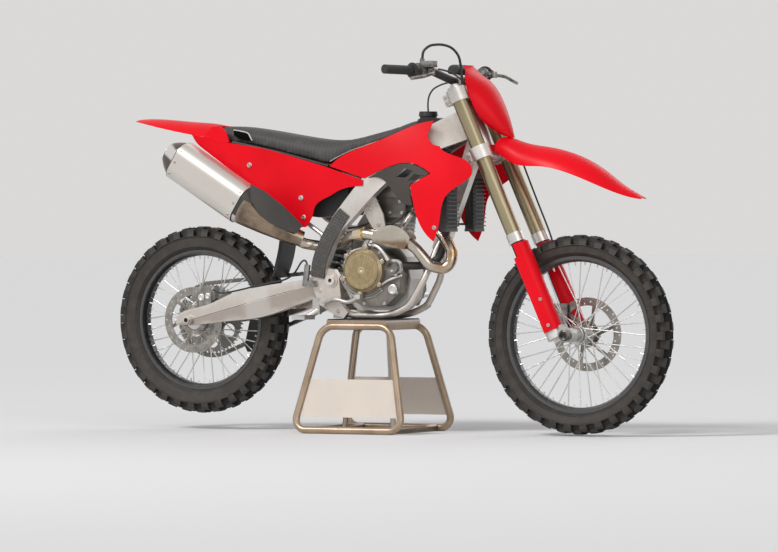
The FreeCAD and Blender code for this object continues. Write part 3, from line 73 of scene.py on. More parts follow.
bpy.ops.object.camera_add(location=view["place"])
camera = bpy.context.object
camera.name = "photoCamera"
camera.data.lens = view["lens"]
camera.data.sensor_width = 36
camera.data.clip_end = 100
lookAlong = Vector(view["target"]) - Vector(view["place"])
facing = lookAlong.to_track_quat("-Z", "Y").to_matrix()
camera.rotation_euler = (facing @ Matrix.Rotation(math.radians(view["roll"]), 3, "Z")).to_euler()
bpy.context.scene.camera = camera
bpy.context.scene.view_settings.view_transform = "Standard"


# shader maths: a value is a socket, and an expression adds its nodes

class Value:
    def __init__(self, paint, socket):
        self.paint = paint
        self.socket = socket

    def __add__(self, other):
        return self.paint.maths("ADD", self, other)

    def __sub__(self, other):
        return self.paint.maths("SUBTRACT", self, other)

    def __rsub__(self, other):
        return self.paint.maths("SUBTRACT", other, self)

    def __mul__(self, other):
        return self.paint.maths("MULTIPLY", self, other)

    def __pow__(self, other):
        return self.paint.maths("POWER", self, other)

    def __gt__(self, other):
        return self.paint.maths("GREATER_THAN", self, other)

    def __lt__(self, other):
        return self.paint.maths("LESS_THAN", self, other)

    __radd__ = __add__


class Paint:
    def __init__(self, name):
        self.material = bpy.data.materials.new(name)
        self.material.use_nodes = True
        self.tree = self.material.node_tree
        self.shader = self.tree.nodes["Principled BSDF"]

    def node(self, kind, settings=None, inputs=None, output=0):
        made = self.tree.nodes.new(kind)
        for key, setting in (settings or {}).items():
            setattr(made, key, setting)
        for key, given in (inputs or {}).items():
            self.feed(made.inputs[key], given)
        return Value(self, made.outputs[output])

    def feed(self, socket, given):
        if isinstance(given, Value):
            self.tree.links.new(given.socket, socket)
        elif isinstance(given, tuple) and len(given) == 3 and socket.type == "RGBA":
            socket.default_value = (*given, 1)
        else:
            socket.default_value = given

    def maths(self, operation, first, second=0.0):
        return self.node("ShaderNodeMath", {"operation": operation}, {0: first, 1: second})

    def mix(self, factor, first, second):
        return self.node("ShaderNodeMix", {"data_type": "RGBA"}, {0: factor, 6: first, 7: second}, 2)

    def place(self, scale=(1, 1, 1), turn=(0, 0, 0)):
        coordinates = self.node("ShaderNodeTexCoord", output=3)
        return self.node("ShaderNodeMapping", {}, {"Vector": coordinates, "Scale": scale, "Rotation": turn})

    def split(self, vector):
        return [self.node("ShaderNodeSeparateXYZ", {}, {0: vector}, axis) for axis in range(3)]

    def noise(self, vector, scale, detail, roughness=0.5):
        return self.node("ShaderNodeTexNoise", {}, {"Vector": vector, "Scale": scale, "Detail": detail,
                                                    "Roughness": roughness})

    def patches(self, scale, detail, roughness, low=0.5, high=0.78):
        return self.stretch(self.noise(self.place(), scale, detail, roughness), low, high)

    def wave(self, vector, direction, scale, distortion=0.0):
        return self.node("ShaderNodeTexWave", {"wave_type": "BANDS", "bands_direction": direction},
                         {"Vector": vector, "Scale": scale, "Distortion": distortion}, 1)

    def stretch(self, value, low, high):
        return self.node("ShaderNodeMapRange", {"interpolation_type": "SMOOTHSTEP"},
                         {"Value": value, "From Min": low, "From Max": high})

    def size(self, value):
        return self.maths("ABSOLUTE", value)

    def edges(self, amount):
        pointiness = self.node("ShaderNodeNewGeometry", output=7)
        return self.stretch(pointiness, 0.52, 0.6) * amount

    # painted shade: a mask where pointiness is low, in hollows and creases, for darkening them
    def paintedCreaseShade(self, amount):
        pointiness = self.node("ShaderNodeNewGeometry", output=7)
        return self.stretch(pointiness, 0.47, 0.38) * amount

    def relief(self, height, depth, strength):
        return self.node("ShaderNodeBump", {}, {"Height": height, "Distance": depth, "Strength": strength})

    def finish(self, **sockets):
        names = {"colour": "Base Color", "roughness": "Roughness", "metal": "Metallic", "normal": "Normal",
                 "sheen": "Sheen Weight", "specular": "Specular IOR Level"}
        for key, given in sockets.items():
            self.feed(self.shader.inputs[names[key]], given)
        return self.material


# finishes: each has its own grain and soiling, and the metals have worn edges and painted shade in their
# creases

def metalFinish(name, look):
    paint = Paint(name)
    grain = paint.noise(paint.place(look.get("grain", (1, 1, 1))), look.get("grainScale", 400), 3)
    cloud = paint.noise(paint.place(), look.get("cloudScale", 9), 5, 0.6)
    soil = paint.patches(28, 6, 0.65)
    colour = paint.mix(paint.stretch(cloud, 0.35, 0.65), look["light"], look["dark"])
    colour = paint.mix(soil * look.get("soil", 0.25), colour, look.get("soilColour", (0.09, 0.075, 0.06)))
    colour = paint.mix(paint.edges(look.get("wear", 0.4)), colour, look.get("bare", (0.85, 0.84, 0.82)))
    # painted shade: the creases are darkened towards black
    colour = paint.mix(paint.paintedCreaseShade(look.get("paintedCreaseShade", 0.7)), colour, (0.02, 0.018, 0.016))
    rough = look["rough"] + (grain - 0.5) * 0.18 + soil * 0.12
    normal = paint.relief(grain, look.get("depth", 0.00015), 0.35)
    return paint.finish(colour=colour, roughness=rough, metal=look["metal"], normal=normal)


def plasticFinish(name, look):
    paint = Paint(name)
    plain = paint.place()
    skin = paint.noise(plain, look.get("skinScale", 1400), 2)
    flow = paint.noise(plain, 5, 4)
    scuff = paint.stretch(paint.noise(paint.place((1, 1, 6), (0.2, 0.5, 0.1)), 46, 6, 0.7), 0.6, 0.8)
    colour = paint.mix(paint.stretch(flow, 0.3, 0.7), look["light"], look["dark"])
    colour = paint.mix(scuff * look.get("scuff", 0.12), colour, (0.5, 0.42, 0.36))
    rough = look["rough"] + (flow - 0.5) * 0.1 + scuff * 0.18
    normal = paint.relief(skin, look.get("depth", 0.00008), 0.25)
    return paint.finish(colour=colour, roughness=rough, metal=0.0, normal=normal,
                        specular=look.get("shine", 0.4))


finishes = {
    "redPlastic": plasticFinish("redPlastic", {
        "light": (0.78, 0.003, 0.012), "dark": (0.68, 0.002, 0.009), "rough": 0.34, "shine": 0.14,
        "scuff": 0.03}),
    "blackPlastic": plasticFinish("blackPlastic", {
        "light": (0.028, 0.027, 0.026), "dark": (0.017, 0.017, 0.017), "rough": 0.5, "skinScale": 700,
        "depth": 0.0002, "scuff": 0.16}),
    "greyPanelPlastic": plasticFinish("greyPanelPlastic", {
        "light": (0.062, 0.051, 0.042), "dark": (0.042, 0.035, 0.029), "rough": 0.42, "shine": 0.3}),
    "frameAlloy": metalFinish("frameAlloy", {
        "light": (0.66, 0.60, 0.545), "dark": (0.55, 0.50, 0.45), "rough": 0.38, "grain": (1, 1, 12),
        "grainScale": 120, "soil": 0.22, "metal": 0.8, "paintedCreaseShade": 0.12}),
    "castAlloy": metalFinish("castAlloy", {
        "light": (0.27, 0.245, 0.215), "dark": (0.15, 0.135, 0.12), "rough": 0.5, "grainScale": 800,
        "depth": 0.0004, "soil": 0.5, "metal": 0.75, "wear": 0.7}),
    "headAlloy": metalFinish("headAlloy", {
        "light": (0.22, 0.20, 0.18), "dark": (0.10, 0.095, 0.088), "rough": 0.46, "grainScale": 700,
        "depth": 0.0004, "soil": 0.5, "metal": 0.8}),
    "controlAlloy": metalFinish("controlAlloy", {
        "light": (0.27, 0.25, 0.225), "dark": (0.045, 0.042, 0.04), "rough": 0.34, "cloudScale": 30,
        "soil": 0.4, "metal": 0.85, "wear": 0.2}),
    "sleeveSteel": metalFinish("sleeveSteel", {
        "light": (0.33, 0.25, 0.18), "dark": (0.15, 0.11, 0.08), "rough": 0.2, "cloudScale": 12, "soil": 0.35,
        "metal": 0.95, "wear": 0.1}),
    "shieldBlack": plasticFinish("shieldBlack", {
        "light": (0.058, 0.051, 0.045), "dark": (0.034, 0.030, 0.027), "rough": 0.42, "skinScale": 500,
        "depth": 0.0003}),
    "springSteel": metalFinish("springSteel", {
        "light": (0.12, 0.12, 0.125), "dark": (0.07, 0.07, 0.075), "rough": 0.4, "metal": 0.3}),
    "chainSteel": metalFinish("chainSteel", {
        "light": (0.16, 0.14, 0.12), "dark": (0.07, 0.062, 0.055), "rough": 0.36, "soil": 0.5, "metal": 0.9,
        "wear": 0.15}),
    "forgedSteel": metalFinish("forgedSteel", {
        "light": (0.55, 0.53, 0.50), "dark": (0.40, 0.385, 0.36), "rough": 0.38, "soil": 0.35, "metal": 0.9}),
    "barBlack": metalFinish("barBlack", {
        "light": (0.035, 0.034, 0.033), "dark": (0.022, 0.022, 0.022), "rough": 0.4, "metal": 0.35,
        "bare": (0.3, 0.3, 0.3)}),
    "standBronze": metalFinish("standBronze", {
        "light": (0.42, 0.315, 0.225), "dark": (0.33, 0.245, 0.17), "rough": 0.3, "soil": 0.3, "metal": 0.55,
        "soilColour": (0.2, 0.12, 0.07), "grainScale": 500}),
    "standCream": metalFinish("standCream", {
        "light": (0.475, 0.355, 0.25), "dark": (0.425, 0.315, 0.22), "rough": 0.5, "soil": 0.15, "metal": 0.1,
        "soilColour": (0.3, 0.2, 0.12), "grainScale": 420}),
    "radiatorBlack": metalFinish("radiatorBlack", {
        "light": (0.03, 0.03, 0.03), "dark": (0.02, 0.02, 0.02), "rough": 0.5, "metal": 0.2,
        "bare": (0.2, 0.2, 0.2)}),
    "rimBlack": metalFinish("rimBlack", {
        "light": (0.022, 0.022, 0.023), "dark": (0.015, 0.015, 0.016), "rough": 0.3, "metal": 0.6,
        "grainScale": 260, "soilColour": (0.18, 0.13, 0.09), "soil": 0.2, "bare": (0.25, 0.25, 0.25)}),
    "spokeSteel": metalFinish("spokeSteel", {
        "light": (0.72, 0.71, 0.69), "dark": (0.6, 0.59, 0.57), "rough": 0.28, "metal": 0.95, "soil": 0.1}),
    "discSteel": metalFinish("discSteel", {
        "light": (0.34, 0.305, 0.27), "dark": (0.18, 0.16, 0.14), "rough": 0.3, "grainScale": 520,
        "cloudScale": 40, "metal": 0.95, "soil": 0.25, "wear": 0.15}),
    "boltSteel": metalFinish("boltSteel", {
        "light": (0.62, 0.60, 0.57), "dark": (0.44, 0.42, 0.40), "rough": 0.28, "metal": 0.95, "soil": 0.3}),
    "brightAlloy": metalFinish("brightAlloy", {
        "light": (0.78, 0.76, 0.73), "dark": (0.66, 0.64, 0.61), "rough": 0.34, "metal": 0.85, "soil": 0.2}),
    # painted shade: near-black for the shade inside the seat's grab hole
    "holeShadeBlack": plasticFinish("holeShadeBlack", {
        "light": (0.003, 0.003, 0.003), "dark": (0.001, 0.001, 0.001), "rough": 0.9, "shine": 0.04,
        "scuff": 0.01}),
    # painted highlight: pale grey for lit edges at the seat
    "paintedHighlightGrey": plasticFinish("paintedHighlightGrey", {
        "light": (0.55, 0.5, 0.46), "dark": (0.45, 0.41, 0.38), "rough": 0.5}),
    "sprocketAlloy": metalFinish("sprocketAlloy", {
        "light": (0.27, 0.25, 0.23), "dark": (0.17, 0.16, 0.145), "rough": 0.38, "metal": 0.9, "soil": 0.4,
        "wear": 0.15}),
}


def hoseFinish():
    paint = Paint("hoseRubber")
    fine = paint.noise(paint.place(), 900, 3)
    cloud = paint.noise(paint.place(), 14, 5, 0.6)
    dust = paint.patches(36, 8, 0.7, 0.48, 0.74)
    colour = paint.mix(cloud, (0.02, 0.02, 0.02), (0.012, 0.012, 0.012))
    colour = paint.mix(dust * 0.05, colour, (0.26, 0.17, 0.11))
    rough = 0.48 + dust * 0.15 + (fine - 0.5) * 0.12
    return paint.finish(colour=colour, roughness=rough, metal=0.0, normal=paint.relief(fine, 0.0003, 0.5))


# both wheels at once: the mean of their centres and radii, and how far each is from it

tread = {"along": 0.744, "height": 0.371, "lift": 0.021, "radius": 0.340, "spread": 0.006, "rings": 1900}


def tyreFinish():
    paint = Paint("tyreRubber")
    x, y, z = paint.split(paint.place())
    ahead = (x > 0.0) * 2 - 1
    level = z - tread["height"] + ahead * tread["lift"]
    radial = paint.maths("SQRT", (paint.size(x) - tread["along"]) ** 2 + level ** 2)
    depth = radial - ahead * tread["spread"] - tread["radius"]
    wall = paint.stretch(depth, -0.018, -0.026)
    fine = paint.noise(paint.place(), 900, 3)
    cloud = paint.noise(paint.place(), 14, 5, 0.6)
    dust = paint.patches(36, 8, 0.7, 0.42, 0.72)
    base = paint.stretch(depth, -0.006, -0.016)
    colour = paint.mix(cloud, (0.016, 0.015, 0.014), (0.009, 0.009, 0.009))
    colour = paint.mix(base * 0.05, colour, (0.16, 0.12, 0.085))
    colour = paint.mix(wall * (dust * 0.1 + 0.02), colour, (0.27, 0.20, 0.14))
    colour = paint.mix(dust * 0.02, colour, (0.26, 0.18, 0.12))
    rings = paint.maths("SINE", depth * tread["rings"])
    rough = 0.5 + dust * 0.15 + (fine - 0.5) * 0.1
    normal = paint.relief(fine + rings * wall * 0.7, 0.0004, 0.5)
    return paint.finish(colour=colour, roughness=rough, metal=0.0, normal=normal)


def matFinish():
    paint = Paint("standMatRubber")
    across = paint.place((1, 1, 1), (0, 0, math.radians(45)))
    lattice = paint.maths("MAXIMUM", paint.wave(across, "X", 34), paint.wave(across, "Y", 34))
    dust = paint.patches(30, 6, 0.7, 0.5, 0.75)
    colour = paint.mix(dust * 0.5, (0.02, 0.02, 0.02), (0.24, 0.16, 0.10))
    return paint.finish(colour=colour, roughness=0.7 + dust * 0.1, normal=paint.relief(lattice, 0.0012, 0.8))


def guardFinish():
    paint = Paint("wovenGuard")
    facing = paint.place((1, 1, 1), (0, math.radians(20), 0))
    weave = paint.node("ShaderNodeTexChecker", {}, {"Vector": facing, "Scale": 130}, 1)
    threads = paint.wave(facing, "DIAGONAL", 60, 0.4)
    dust = paint.patches(40, 6, 0.5, 0.5, 0.75)
    colour = paint.mix(weave * 0.6 + threads * 0.4, (0.035, 0.034, 0.033), (0.085, 0.08, 0.075))
    colour = paint.mix(dust * 0.15, colour, (0.3, 0.22, 0.16))
    return paint.finish(colour=colour, roughness=0.42 + weave * 0.14,
                        normal=paint.relief(weave + threads, 0.0005, 0.6))


waffleRows = 900


def gripFinish():
    paint = Paint("gripRubber")
    x, y, z = paint.split(paint.place())
    rings = paint.maths("SINE", y * waffleRows)
    lines = paint.maths("SINE", (x + z) * waffleRows)
    waffle = paint.stretch(rings * lines, -0.2, 0.5)
    return paint.finish(colour=paint.mix(waffle, (0.016, 0.016, 0.016), (0.03, 0.03, 0.03)),
                        roughness=0.7 - waffle * 0.12, normal=paint.relief(waffle, 0.0008, 0.9))


# lengths along the parts that stand at an angle: the raked fork and the rising silencer
# a pair of lengths says where a colour starts to change and where the change is complete

rake = {"head": (0.324, 1.105), "angle": math.radians(24.2), "lowSilver": (-0.452, -0.456),
        "topSilver": (0.044, 0.048), "cast": (-0.742, -0.748)}
can = {"front": (-0.495, 0.800), "angle": math.radians(31.7), "length": 0.305, "seam": (0.0022, 0.0012),
       "polishFade": 0.002, "heated": (-0.004, -0.03), "reflectionRows": 70}


def alongFork(x, z):
    return (x - rake["head"][0]) * -math.sin(rake["angle"]) + (z - rake["head"][1]) * math.cos(rake["angle"])


def alongCan(x, z):
    return (x - can["front"][0]) * -math.cos(can["angle"]) + (z - can["front"][1]) * math.sin(can["angle"])


def forkTubeFinish():
    paint = Paint("forkTube")
    x, y, z = paint.split(paint.place())
    length = alongFork(x, z)
    silver = paint.maths("MAXIMUM", paint.stretch(length, *rake["lowSilver"]),
                         paint.stretch(length, *rake["topSilver"]))
    lines = paint.noise(paint.place((1, 1, 20)), 60, 3)
    cloud = paint.noise(paint.place(), 9, 4)
    gold = paint.mix(cloud, (0.40, 0.34, 0.215), (0.33, 0.28, 0.175))
    colour = paint.mix(silver, gold, (0.66, 0.64, 0.61))
    return paint.finish(colour=colour, roughness=0.27 + lines * 0.1, metal=0.9,
                        normal=paint.relief(lines, 0.0001, 0.3))


def forkLowerFinish():
    paint = Paint("forkLower")
    x, y, z = paint.split(paint.place())
    cast = paint.stretch(alongFork(x, z), *rake["cast"])
    grain = paint.noise(paint.place(), 700, 3)
    soil = paint.patches(30, 6, 0.65)
    colour = paint.mix(cast, (0.028, 0.026, 0.025), (0.50, 0.48, 0.45))
    colour = paint.mix(soil * 0.4, colour, (0.13, 0.10, 0.08))
    colour = paint.mix(paint.edges(0.5) * cast, colour, (0.85, 0.84, 0.82))
    return paint.finish(colour=colour, roughness=0.2 + cast * 0.22 + soil * 0.1, metal=0.85,
                        normal=paint.relief(grain * cast, 0.0004, 0.5))


def canFinish():
    paint = Paint("canAlloy")
    x, y, z = paint.split(paint.place())
    length = alongCan(x, z)
    polished = paint.stretch(length, can["length"], can["length"] + can["polishFade"])
    seams = [paint.stretch(paint.size(length - place), *can["seam"]) for place in (can["length"], 0)]
    seams = paint.maths("MAXIMUM", *seams)
    brushed = paint.noise(paint.place((3, 1, 3), (0, can["angle"], 0)), 240, 3)
    cloud = paint.noise(paint.place(), 7, 5)
    colour = paint.mix(cloud, (0.66, 0.62, 0.575), (0.60, 0.56, 0.515))
    # painted reflection on the polished end cap: light and dark bands across the can, wavering along it
    across = (x - can["front"][0]) * math.sin(can["angle"]) + (z - can["front"][1]) * math.cos(can["angle"])
    reflectionStreak = paint.noise(paint.place((1, 6, 1), (0, can["angle"], 0)), 14, 2)
    paintedReflection = paint.stretch(paint.maths("SINE", across * can["reflectionRows"] + reflectionStreak * 0.8), -0.3, 0.5)
    # painted reflection: the polished end cap shows the bands in place of the brushed colour
    colour = paint.mix(polished, colour, paint.mix(paintedReflection, (0.16, 0.13, 0.11), (0.86, 0.84, 0.82)))
    colour = paint.mix(paint.stretch(length, *can["heated"]) * 0.75, colour, (0.30, 0.22, 0.15))
    colour = paint.mix(seams, colour, (0.03, 0.028, 0.026))
    rough = 0.4 - polished * 0.24 + (brushed - 0.5) * 0.12
    return paint.finish(colour=colour, roughness=rough, metal=0.72 + polished * 0.25,
                        normal=paint.relief(brushed - seams * 4, 0.0002, 0.4))


cover = {"centre": (-0.044, 0.571), "lines": ((0.0665, 0.0016, 0.0004), (0.0545, 0.0012, 0.0003)),
         "hub": (0.011, 0.009), "boltRadius": 0.081, "boltCount": 6, "firstBolt": 22}


def coverFinish():
    paint = Paint("coverGold")
    x, y, z = paint.split(paint.place())
    reach = paint.maths("SQRT", (x - cover["centre"][0]) ** 2 + (z - cover["centre"][1]) ** 2)
    ring, inner = [paint.stretch(paint.size(reach - radius), wide, narrow)
                   for radius, wide, narrow in cover["lines"]]
    hub = paint.stretch(reach, *cover["hub"])
    brushed = paint.noise(paint.place((7, 1, 1), (0, math.radians(8), 0)), 60, 4, 0.6)
    fine = paint.noise(paint.place(), 900, 3)
    cloud = paint.noise(paint.place(), 26, 5, 0.65)
    soil = paint.stretch(cloud, 0.46, 0.7)
    colour = paint.mix(paint.stretch(brushed, 0.35, 0.65), (0.45, 0.345, 0.195), (0.30, 0.225, 0.12))
    colour = paint.mix(soil * 0.4, colour, (0.17, 0.12, 0.07))
    colour = paint.mix(ring, colour, (0.10, 0.075, 0.045))
    colour = paint.mix(inner * 0.7, colour, (0.55, 0.46, 0.30))
    colour = paint.mix(hub * 0.6, colour, (0.22, 0.17, 0.10))
    colour = paint.mix(paint.edges(0.7), colour, (0.68, 0.60, 0.44))
    return paint.finish(colour=colour, roughness=0.36 + soil * 0.16, metal=0.75,
                        normal=paint.relief(brushed * 0.5 + fine * 0.3 - ring * 2, 0.0005, 0.7))


header = {"boxRear": (-0.012, -0.004), "boxFront": (0.142, 0.134), "brown": (0.684, 0.664),
          "bend": (0.21, 0.25), "bandFront": (-0.035, -0.043), "bandRear": (-0.084, -0.076)}


def headerFinish():
    paint = Paint("headerSteel")
    x, y, z = paint.split(paint.place())
    box = paint.stretch(x, *header["boxRear"]) * paint.stretch(x, *header["boxFront"])
    band = paint.stretch(x, *header["bandFront"]) * paint.stretch(x, *header["bandRear"])
    tint = paint.noise(paint.place((1, 1, 2)), 16, 5, 0.6)
    grain = paint.noise(paint.place((1, 1, 3)), 300, 3)
    # painted shade: the box turns darker brown towards the bottom, below a wavering height
    low = paint.stretch(z + (tint - 0.5) * 0.02, *header["brown"])
    bend = paint.stretch(x, *header["bend"])
    bright = paint.mix(tint, (0.62, 0.565, 0.49), (0.47, 0.41, 0.34))
    brown = paint.mix(tint, (0.33, 0.22, 0.13), (0.20, 0.135, 0.085))
    colour = paint.mix(box * low, bright, brown)
    colour = paint.mix(bend * paint.stretch(tint, 0.35, 0.6), colour, (0.42, 0.27, 0.12))
    colour = paint.mix(band, colour, (0.66, 0.52, 0.30))
    colour = paint.mix(paint.edges(0.5), colour, (0.85, 0.82, 0.76))
    rough = 0.22 + (grain - 0.5) * 0.1 + box * 0.06
    return paint.finish(colour=colour, roughness=rough, metal=0.95, normal=paint.relief(grain, 0.0001, 0.3))


# the swingarm's side below a line from rear to front gets painted shade, as if that face were turned from the
# light; the groove is a dark line along it
arm = {"rear": (-0.732, 0.395), "front": (-0.327, 0.502), "groove": (0.0016, 0.0004), "shadeFade": 0.0005}


def armFinish():
    paint = Paint("armAlloy")
    x, y, z = paint.split(paint.place())
    slope = (arm["front"][1] - arm["rear"][1]) / (arm["front"][0] - arm["rear"][0])
    above = z - arm["rear"][1] - (x - arm["rear"][0]) * slope
    reach = (x > arm["rear"][0]) * (x < arm["front"][0])
    paintedUndersideShade = paint.stretch(above, arm["shadeFade"], -arm["shadeFade"])
    groove = paint.stretch(paint.size(above), *arm["groove"]) * reach
    cloud = paint.noise(paint.place(), 9, 5, 0.6)
    grain = paint.noise(paint.place((6, 1, 1)), 150, 3)
    soil = paint.patches(26, 6, 0.65)
    colour = paint.mix(cloud, (0.66, 0.60, 0.545), (0.56, 0.51, 0.46))
    # painted shade: the side below the line is darkened
    colour = paint.mix(paintedUndersideShade * 0.75, colour, (0.37, 0.31, 0.265))
    colour = paint.mix(soil * 0.2, colour, (0.12, 0.095, 0.075))
    colour = paint.mix(groove, colour, (0.05, 0.045, 0.04))
    colour = paint.mix(paint.edges(0.3), colour, (0.85, 0.84, 0.82))
    return paint.finish(colour=colour, roughness=0.38 + (grain - 0.5) * 0.16 + soil * 0.1, metal=0.8,
                        normal=paint.relief(grain * 0.2 - groove, 0.0008, 0.6))


finishes.update({
    "tyreRubber": tyreFinish(), "hoseRubber": hoseFinish(), "forkTube": forkTubeFinish(),
    "forkLower": forkLowerFinish(), "canAlloy": canFinish(), "armAlloy": armFinish(),
    "coverGold": coverFinish(), "headerSteel": headerFinish(), "standMat": matFinish(),
    "wovenGuard": guardFinish(), "gripRubber": gripFinish()})

nodeFinish = {
    "frame": "frameAlloy", "swingarm": "armAlloy", "subframe": "frameAlloy", "triple_clamps": "frameAlloy",
    "frame_guards": "wovenGuard", "engine": "castAlloy", "clutch_cover": "coverGold", "cylinder": "headAlloy",
    "exhaust_pipe": "headerSteel", "muffler": "canAlloy", "heat_shield": "shieldBlack",
    "airbox": "blackPlastic", "shock": "springSteel", "mud_flap": "blackPlastic", "chain": "chainSteel",
    "chain_guide": "blackPlastic", "rear_brake": "controlAlloy", "foot_controls": "forgedSteel",
    "shrouds": "redPlastic", "shroud_panels": "greyPanelPlastic", "side_panels": "redPlastic",
    "rear_fender": "redPlastic", "fuel_tank": "blackPlastic", "vent_hose": "hoseRubber",
    "radiators": "radiatorBlack", "stand_frame": "standBronze", "stand_mat": "standMat",
    "stand_panels": "standCream", "fork_tubes": "forkTube", "fork_lowers": "forkLower",
    "fork_guards": "redPlastic", "handlebar": "barBlack", "grips": "gripRubber",
    "hand_controls": "controlAlloy", "throttle_cables": "hoseRubber", "number_plate": "redPlastic",
    "front_fender": "redPlastic", "front_caliper": "controlAlloy", "front_tyre": "tyreRubber",
    "rear_tyre": "tyreRubber", "front_rim": "rimBlack", "rear_rim": "rimBlack", "front_hub": "spokeSteel",
    "rear_hub": "spokeSteel", "front_disc": "discSteel", "rear_disc": "discSteel",
    "rear_sprocket": "sprocketAlloy",
}


def dress(piece, material):
    slots = piece.data.materials
    if not slots:
        slots.append(material)
    for index in range(len(slots)):
        slots[index] = material


for label, finishName in nodeFinish.items():
    dress(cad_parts[label], finishes[finishName])
print("finishes ready,", len(finishes))


def softCopy(node, name, voxel):
    piece = added(name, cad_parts[node].data.copy())
    pick(piece)
    bpy.ops.object.mode_set(mode="EDIT")
    bpy.ops.mesh.select_all(action="SELECT")
    bpy.ops.mesh.remove_doubles(threshold=0.0001)
    bpy.ops.object.mode_set(mode="OBJECT")
    applied(piece, "REMESH", {"mode": "VOXEL", "voxel_size": voxel})
    applied(piece, "SMOOTH", {"iterations": 6, "factor": 0.5})
    return piece


air = {"quality": 3, "steps": 8}


def inflate(piece, pressure, cap):
    before = [vertex.co.copy() for vertex in piece.data.vertices]
    cloth = piece.modifiers.new("air", "CLOTH")
    cloth.settings.use_pressure = True
    cloth.settings.uniform_pressure_force = pressure
    cloth.settings.effector_weights.gravity = 0
    cloth.settings.quality = air["quality"]
    cloth.collision_settings.use_collision = False
    for step in range(air["steps"]):
        bpy.context.scene.frame_set(step + 1)
    bpy.context.view_layer.objects.active = piece
    bpy.ops.object.modifier_apply(modifier="air")
    bpy.context.scene.frame_set(1)
    for vertex, start in zip(piece.data.vertices, before):
        move = vertex.co - start
        if move.length > cap:
            vertex.co = start + move.normalized() * cap


def softCover(node, name, look, material):
    piece = softCopy(node, name, look["voxel"])
    inflate(piece, look["pressure"], look["cap"])
    applied(piece, "SUBSURF", {"levels": 1})
    bpy.ops.object.shade_smooth()
    piece.data.materials.clear()
    piece.data.materials.append(material)
    return piece


seatLook = {"voxel": 0.006, "pressure": 3.0, "cap": 0.004, "ribStep": 0.0145, "seamX": 0.055,
            "seamWidth": 0.004, "seamDepth": 0.002}


def seatFinish():
    paint = Paint("seatCover")
    x, y, z = paint.split(paint.place())
    ribs = paint.stretch(paint.maths("SINE", x * (2 * math.pi / seatLook["ribStep"])), -0.2, 0.6)
    grain = paint.noise(paint.place(), 1600, 3)
    dust = paint.patches(24, 7, 0.65)
    colour = paint.mix(ribs, (0.038, 0.036, 0.034), (0.048, 0.046, 0.044))
    colour = paint.mix(dust * 0.16, colour, (0.30, 0.22, 0.16))
    return paint.finish(colour=colour, roughness=0.62 + dust * 0.1, sheen=0.05,
                        normal=paint.relief(grain * 0.35 + ribs, 0.0006, 0.6))


def makeSeat():
    piece = softCover("seat", "seat_cover", seatLook, seatFinish())
    outward = [vertex.normal.copy() for vertex in piece.data.vertices]
    for vertex, away in zip(piece.data.vertices, outward):
        seam = math.exp(-((vertex.co.x - seatLook["seamX"]) / seatLook["seamWidth"]) ** 2)
        vertex.co -= away * (seam * seatLook["seamDepth"])
    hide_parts("seat")
    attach(piece, "chassis")


padLook = {"voxel": 0.004, "pressure": 3.5, "cap": 0.004}


def padFinish():
    paint = Paint("barPadCover")
    grain = paint.noise(paint.place(), 1300, 4)
    cloud = paint.noise(paint.place(), 18, 4)
    colour = paint.mix(cloud, (0.026, 0.025, 0.025), (0.016, 0.016, 0.016))
    return paint.finish(colour=colour, roughness=0.5 + cloud * 0.1, normal=paint.relief(grain, 0.0004, 0.5))


def makeBarPad():
    piece = softCover("bar_pad", "bar_pad_cover", padLook, padFinish())
    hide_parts("bar_pad")
    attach(piece, "steering")


makeSeat()
makeBarPad()
print("seat and bar pad made")


# small hardware: each kind is modelled once and copied to its places

def pickTop():
    mesh = bmesh.from_edit_mesh(bpy.context.object.data)
    for face in mesh.faces:
        face.select_set(face.normal.z > 0.9)
    bmesh.update_edit_mesh(bpy.context.object.data)


def bevelled(piece, width, segments=2):
    applied(piece, "BEVEL", {"width": width, "segments": segments, "limit_method": "ANGLE"})


def turned(name, sides, radius, depth, middle, steps):
    fresh()
    bpy.ops.mesh.primitive_cylinder_add(vertices=sides, radius=radius, depth=depth, location=(0, 0, middle))
    piece = bpy.context.object
    piece.name = name
    bpy.ops.object.transform_apply(location=True)
    bpy.ops.object.mode_set(mode="EDIT")
    pickTop()
    for inset, rise in steps:
        bpy.ops.mesh.inset(thickness=inset)
        bpy.ops.mesh.extrude_region_move(TRANSFORM_OT_translate={"value": (0, 0, rise)})
    bpy.ops.object.mode_set(mode="OBJECT")
    return piece


heads = {"hexHead": {"sides": 6, "radius": 0.0052, "height": 0.0048, "flange": 0.0068, "socket": 0.0024},
         "capHead": {"sides": 16, "radius": 0.0046, "height": 0.0050, "flange": 0.0062, "socket": 0.0022}}
shares = {"flange": 0.3, "socket": 0.45, "bevel": 0.08}


def headModel(name):
    head = heads[name]
    height, radius, flange = head["height"], head["radius"], head["height"] * shares["flange"]
    raised = (head["flange"] - radius, height - flange)
    sunk = (radius - head["socket"], -height * shares["socket"])
    piece = turned(name, head["sides"], head["flange"], flange, flange / 2, [raised, sunk])
    bevelled(piece, height * shares["bevel"], 1)
    return piece


def copiesOf(model, spots, name):
    copies = []
    for place, axis, size in spots:
        mesh = model.data.copy()
        turn = Vector((0, 0, 1)).rotation_difference(Vector(axis)).to_matrix().to_4x4()
        mesh.transform(Matrix.Translation(place) @ turn @ Matrix.Scale(size, 4))
        copies.append(added(name, mesh))
    return joined(copies, name)


def joined(pieces, name):
    fresh()
    for piece in pieces:
        piece.select_set(True)
    bpy.context.view_layer.objects.active = pieces[0]
    bpy.ops.object.join()
    result = bpy.context.object
    result.name = name
    return result


def settle(piece, finish, body):
    dress(piece, finishes[finish])
    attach(piece, body)


# a ray from outside finds the place on a piece, and the way its face looks

outside = 0.6


def seated(node, start, side):
    piece = bpy.data.objects.get(node + "_cover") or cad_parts[node]
    found, place, normal = piece.ray_cast(Vector(start), Vector((0, -side, 0)))[:3]
    if not found:
        print("nothing under", node, start)
        return None
    return place, normal


